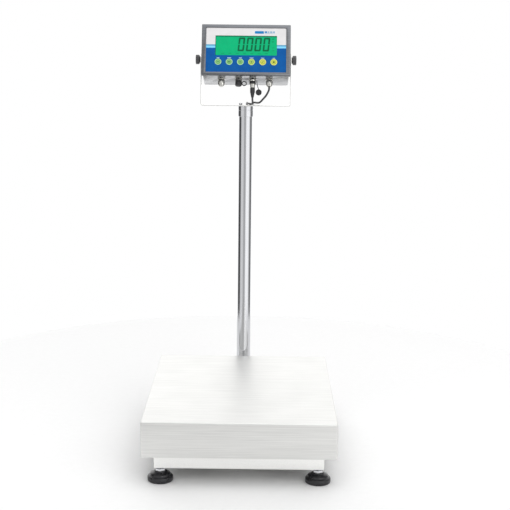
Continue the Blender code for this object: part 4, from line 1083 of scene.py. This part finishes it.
def gland(x, bore):
    """Thread, hexagon, body and fluted dome nut."""
    top = [(bore, 6), (5.9, 6), (6, 5.7), (6, 0), (7.2, 0), (7.2, -6.4), (6.6, -6.6), (6.6, -7.4),
           (7.9, -7.6), (8, -8), (8, -15.6), (7.9, -16.6), (7.2, -18.6), (6.0, -20.4), (5, -21.6),
           (4.4, -22), (bore, -22)]
    body = fitting(top if bore == 0 else top + [(bore, 6)], x, 96)
    ridged(body, x, -16.7, -7.5, 8, 16, 0.45)
    nut = hexagon(face(x, UNDER, FITTING_B), face(x, UNDER - 6, FITTING_B), 9.5 * sqrt(3), bore=5)
    return together(body, nut)


brass(gland(BLANK_X, 0), "blanked_gland", "blank_gland")
brass(gland(POWER_X, 2.6), "power_cord_gland", "power_gland")

# %% Data socket and its cap
socket = fitting([(0, 6), (5.9, 6), (6, 0), (7.8, 0), (8, -0.3), (8, -2), (7.4, -2.2), (7.4, -3),
                  (8, -3.2), (8, -8.6), (7.8, -9), (0, -9)], DATA_X, 96)
ridged(socket, DATA_X, -8.7, -3.1, 8, 32, 0.4)
brass(socket, "data_connector", "data_socket")
CAP_TOP = UNDER - 9.3
cap = turned([(0, 0), (7.3, 0), (7.6, -0.3), (7.6, -2.4), (7.0, -2.8), (7.0, -3.4), (7.6, -3.8),
              (7.6, -9.8), (7.2, -10.6), (6.4, -11), (0, -11)],
             face(DATA_X, CAP_TOP, FITTING_B), steps=96)
ridged(cap, DATA_X, -9.9, -3.7, 7.6, 24, 0.304, CAP_TOP)
clear()
bpy.ops.mesh.primitive_torus_add(major_radius=5.2 * MM, minor_radius=1.15 * MM, major_segments=40,
                                 minor_segments=12)
loop = bpy.context.object
settle(loop, Matrix.Translation(face(DATA_X + 13.4, CAP_TOP - 5, FITTING_B) * MM)
       @ Matrix.Rotation(pi / 2, 4, 'X'))
finish(together(cap, loop), "data_dust_cap", "data_cover", cap_rubber, HEAD,
       replaces="data_cap")

# %% Load cell socket, its plug and its hanging cap
cell_socket = fitting([(0, 6), (5.9, 6), (6, 0), (7.8, 0), (8, -0.3), (8, -3.6), (7.3, -4),
                       (7.3, -5), (8, -5.4), (8, -9.6), (7.8, -10), (0, -10)], CELL_X, 96)
brass(cell_socket, "cell_connector", "cell_socket")
PLUG_TOP = UNDER - 10.3
plug = turned([(0, 0), (7.1, 0), (7.4, -0.3), (7.4, -6.6), (7.1, -7), (5.8, -7.4), (5.6, -8),
               (5.6, -14.2), (5.2, -14.6), (5.2, -15.4), (5.6, -15.8), (5.6, -25.6), (5.2, -27),
               (4.7, -28), (4.7, -28.8), (4.6, -30), (4.2, -30.3), (4.2, -31), (4.1, -32.4),
               (3.8, -32.8), (3.8, -33.4), (3.6, -35), (3.3, -37.4), (3.0, -38), (0, -38)],
              face(CELL_X, PLUG_TOP, FITTING_B), steps=96)
ridged(plug, CELL_X, -6.8, -0.2, 7.4, 28, 0.37, PLUG_TOP)
PLUG_Z = face(CELL_X, PLUG_TOP, FITTING_B).z
inked(plug, (nickel_brass, cap_rubber), lambda middle: not 7.1 <= PLUG_Z - middle.z <= 15.5)
brass(plug, "cell_lead_plug", "cell_plug")

CAP_LOW, CAP_HIGH = corners("cell_cap")
disc_x, disc_z = CAP_HIGH.x - 7, CAP_LOW.z + 7
cap_mid_y = (CAP_LOW.y + CAP_HIGH.y) / 2
disc = turned([(0, 4), (5.2, 4), (5.6, 3.6), (6.6, 3.6), (7, 3.2), (7, -3.2), (6.6, -3.8), (5, -4),
               (4.6, -3.2), (0, -3.2)], (disc_x, cap_mid_y, disc_z), Matrix.Rotation(pi / 2, 4, 'X'),
              steps=64)
strap_points = smooth_route([(disc_x + x, cap_mid_y, disc_z + z) for x, z in (
    (-4.5, 28), (-4.2, 22), (-2.6, 14), (-0.6, 8), (0, 5))], 1)
strap = tube(strap_points, 1.7)
for part in (disc, strap):
    part.data.materials.append(cap_rubber)
finish(together(disc, strap), "hanging_cell_cap", "cell_cover", cap_rubber,
       replaces="cell_cap")

# %% [markdown]
# ## Studio
# Polished steel shows the room more than itself, so the room is part of the finish. A world shader
# lays out soft light and dark walls by their bearing around the scale: dark flags at both sides draw
# the tube's dark edges, bright walls between them draw its bright bands. A white floor and two big
# soft lights do the rest.

# %% World, floor and lights
world = bpy.data.worlds.new("white_studio")
bpy.context.scene.world = world
world.use_nodes = True
sky = world.node_tree
sky.nodes.clear()
ray = add_node(sky, "TexCoord")
axes = add_node(sky, "SeparateXYZ", {"Vector": ray.outputs["Generated"]})
front = add_node(sky, "Math", {0: axes.outputs["Y"], 1: -1.0}, operation='MULTIPLY')
bearing = add_node(sky, "Math", {0: axes.outputs["X"], 1: front.outputs[0]},
                   operation='ARCTAN2')
turned_share = add_node(sky, "MapRange", {"Value": bearing.outputs[0], "From Min": -pi,
                                          "From Max": pi})
WALLS = [(-180, 1.5), (-138, 1.5), (-128, 0.62), (-114, 0.10), (-80, 0.08), (-66, 0.95),
         (-30, 0.95), (-16, 0.60), (6, 0.58), (20, 1.45), (64, 1.45), (80, 0.62), (98, 0.20),
         (126, 0.26), (136, 1.3), (180, 1.5)]
walls = ramp(sky, turned_share.outputs["Result"], [((a + 180) / 360, v) for a, v in WALLS])
height = add_node(sky, "MapRange", {"Value": axes.outputs["Z"], "From Min": 0.72,
                                    "From Max": 0.95}, interpolation_type='SMOOTHSTEP')
room = add_node(sky, "Mix", {"Factor": height.outputs["Result"]}, data_type='RGBA')
wall_socket, ceiling_socket = [s for s in room.inputs if s.type == 'RGBA']
sky.links.new(walls, wall_socket)
ceiling_socket.default_value = (1.0, 1.0, 1.0, 1.0)
room_colour = [s for s in room.outputs if s.type == 'RGBA'][0]
seen = add_node(sky, "LightPath")
lit = add_node(sky, "Background", {"Color": room_colour, "Strength": 0.95})
plain = add_node(sky, "Background", {"Color": (1, 1, 1, 1), "Strength": 1.0})
chosen = add_node(sky, "MixShader", {0: seen.outputs["Is Camera Ray"]})
sky.links.new(lit.outputs["Background"], chosen.inputs[1])
sky.links.new(plain.outputs["Background"], chosen.inputs[2])
add_node(sky, "OutputWorld", {"Surface": chosen.outputs["Shader"]})

clear()
bpy.ops.mesh.primitive_circle_add(vertices=128, radius=0.95, fill_type='NGON',
                                  location=(0, 0.2, -0.0002))
floor = bpy.context.object
floor.name = "studio_floor"
paper = moulded("white_paper_sweep", "#ffffff", "#fdfdfd", 0.8, grain=300.0, depth=0.02)
floor.data.materials.append(paper)


def soft_light(name, place, target, size, power):
    """A square area light that faces a point."""
    bpy.ops.object.light_add(type='AREA', location=place)
    light = bpy.context.object
    light.name = name
    light.data.shape = 'SQUARE'
    light.data.size = size
    light.data.energy = power
    light.rotation_euler = (Vector(target) - Vector(place)).to_track_quat('-Z', 'Y').to_euler()


soft_light("top_softbox", (0.2, -0.6, 3.2), (0, 0, 0.3), 2.4, 15)
soft_light("front_softbox", (1.3, -2.9, 1.7), (0, 0, 0.5), 1.4, 8)
bpy.context.scene.view_settings.view_transform = 'Standard'
print("studio ready")

# %% Finish with nothing selected
clear()
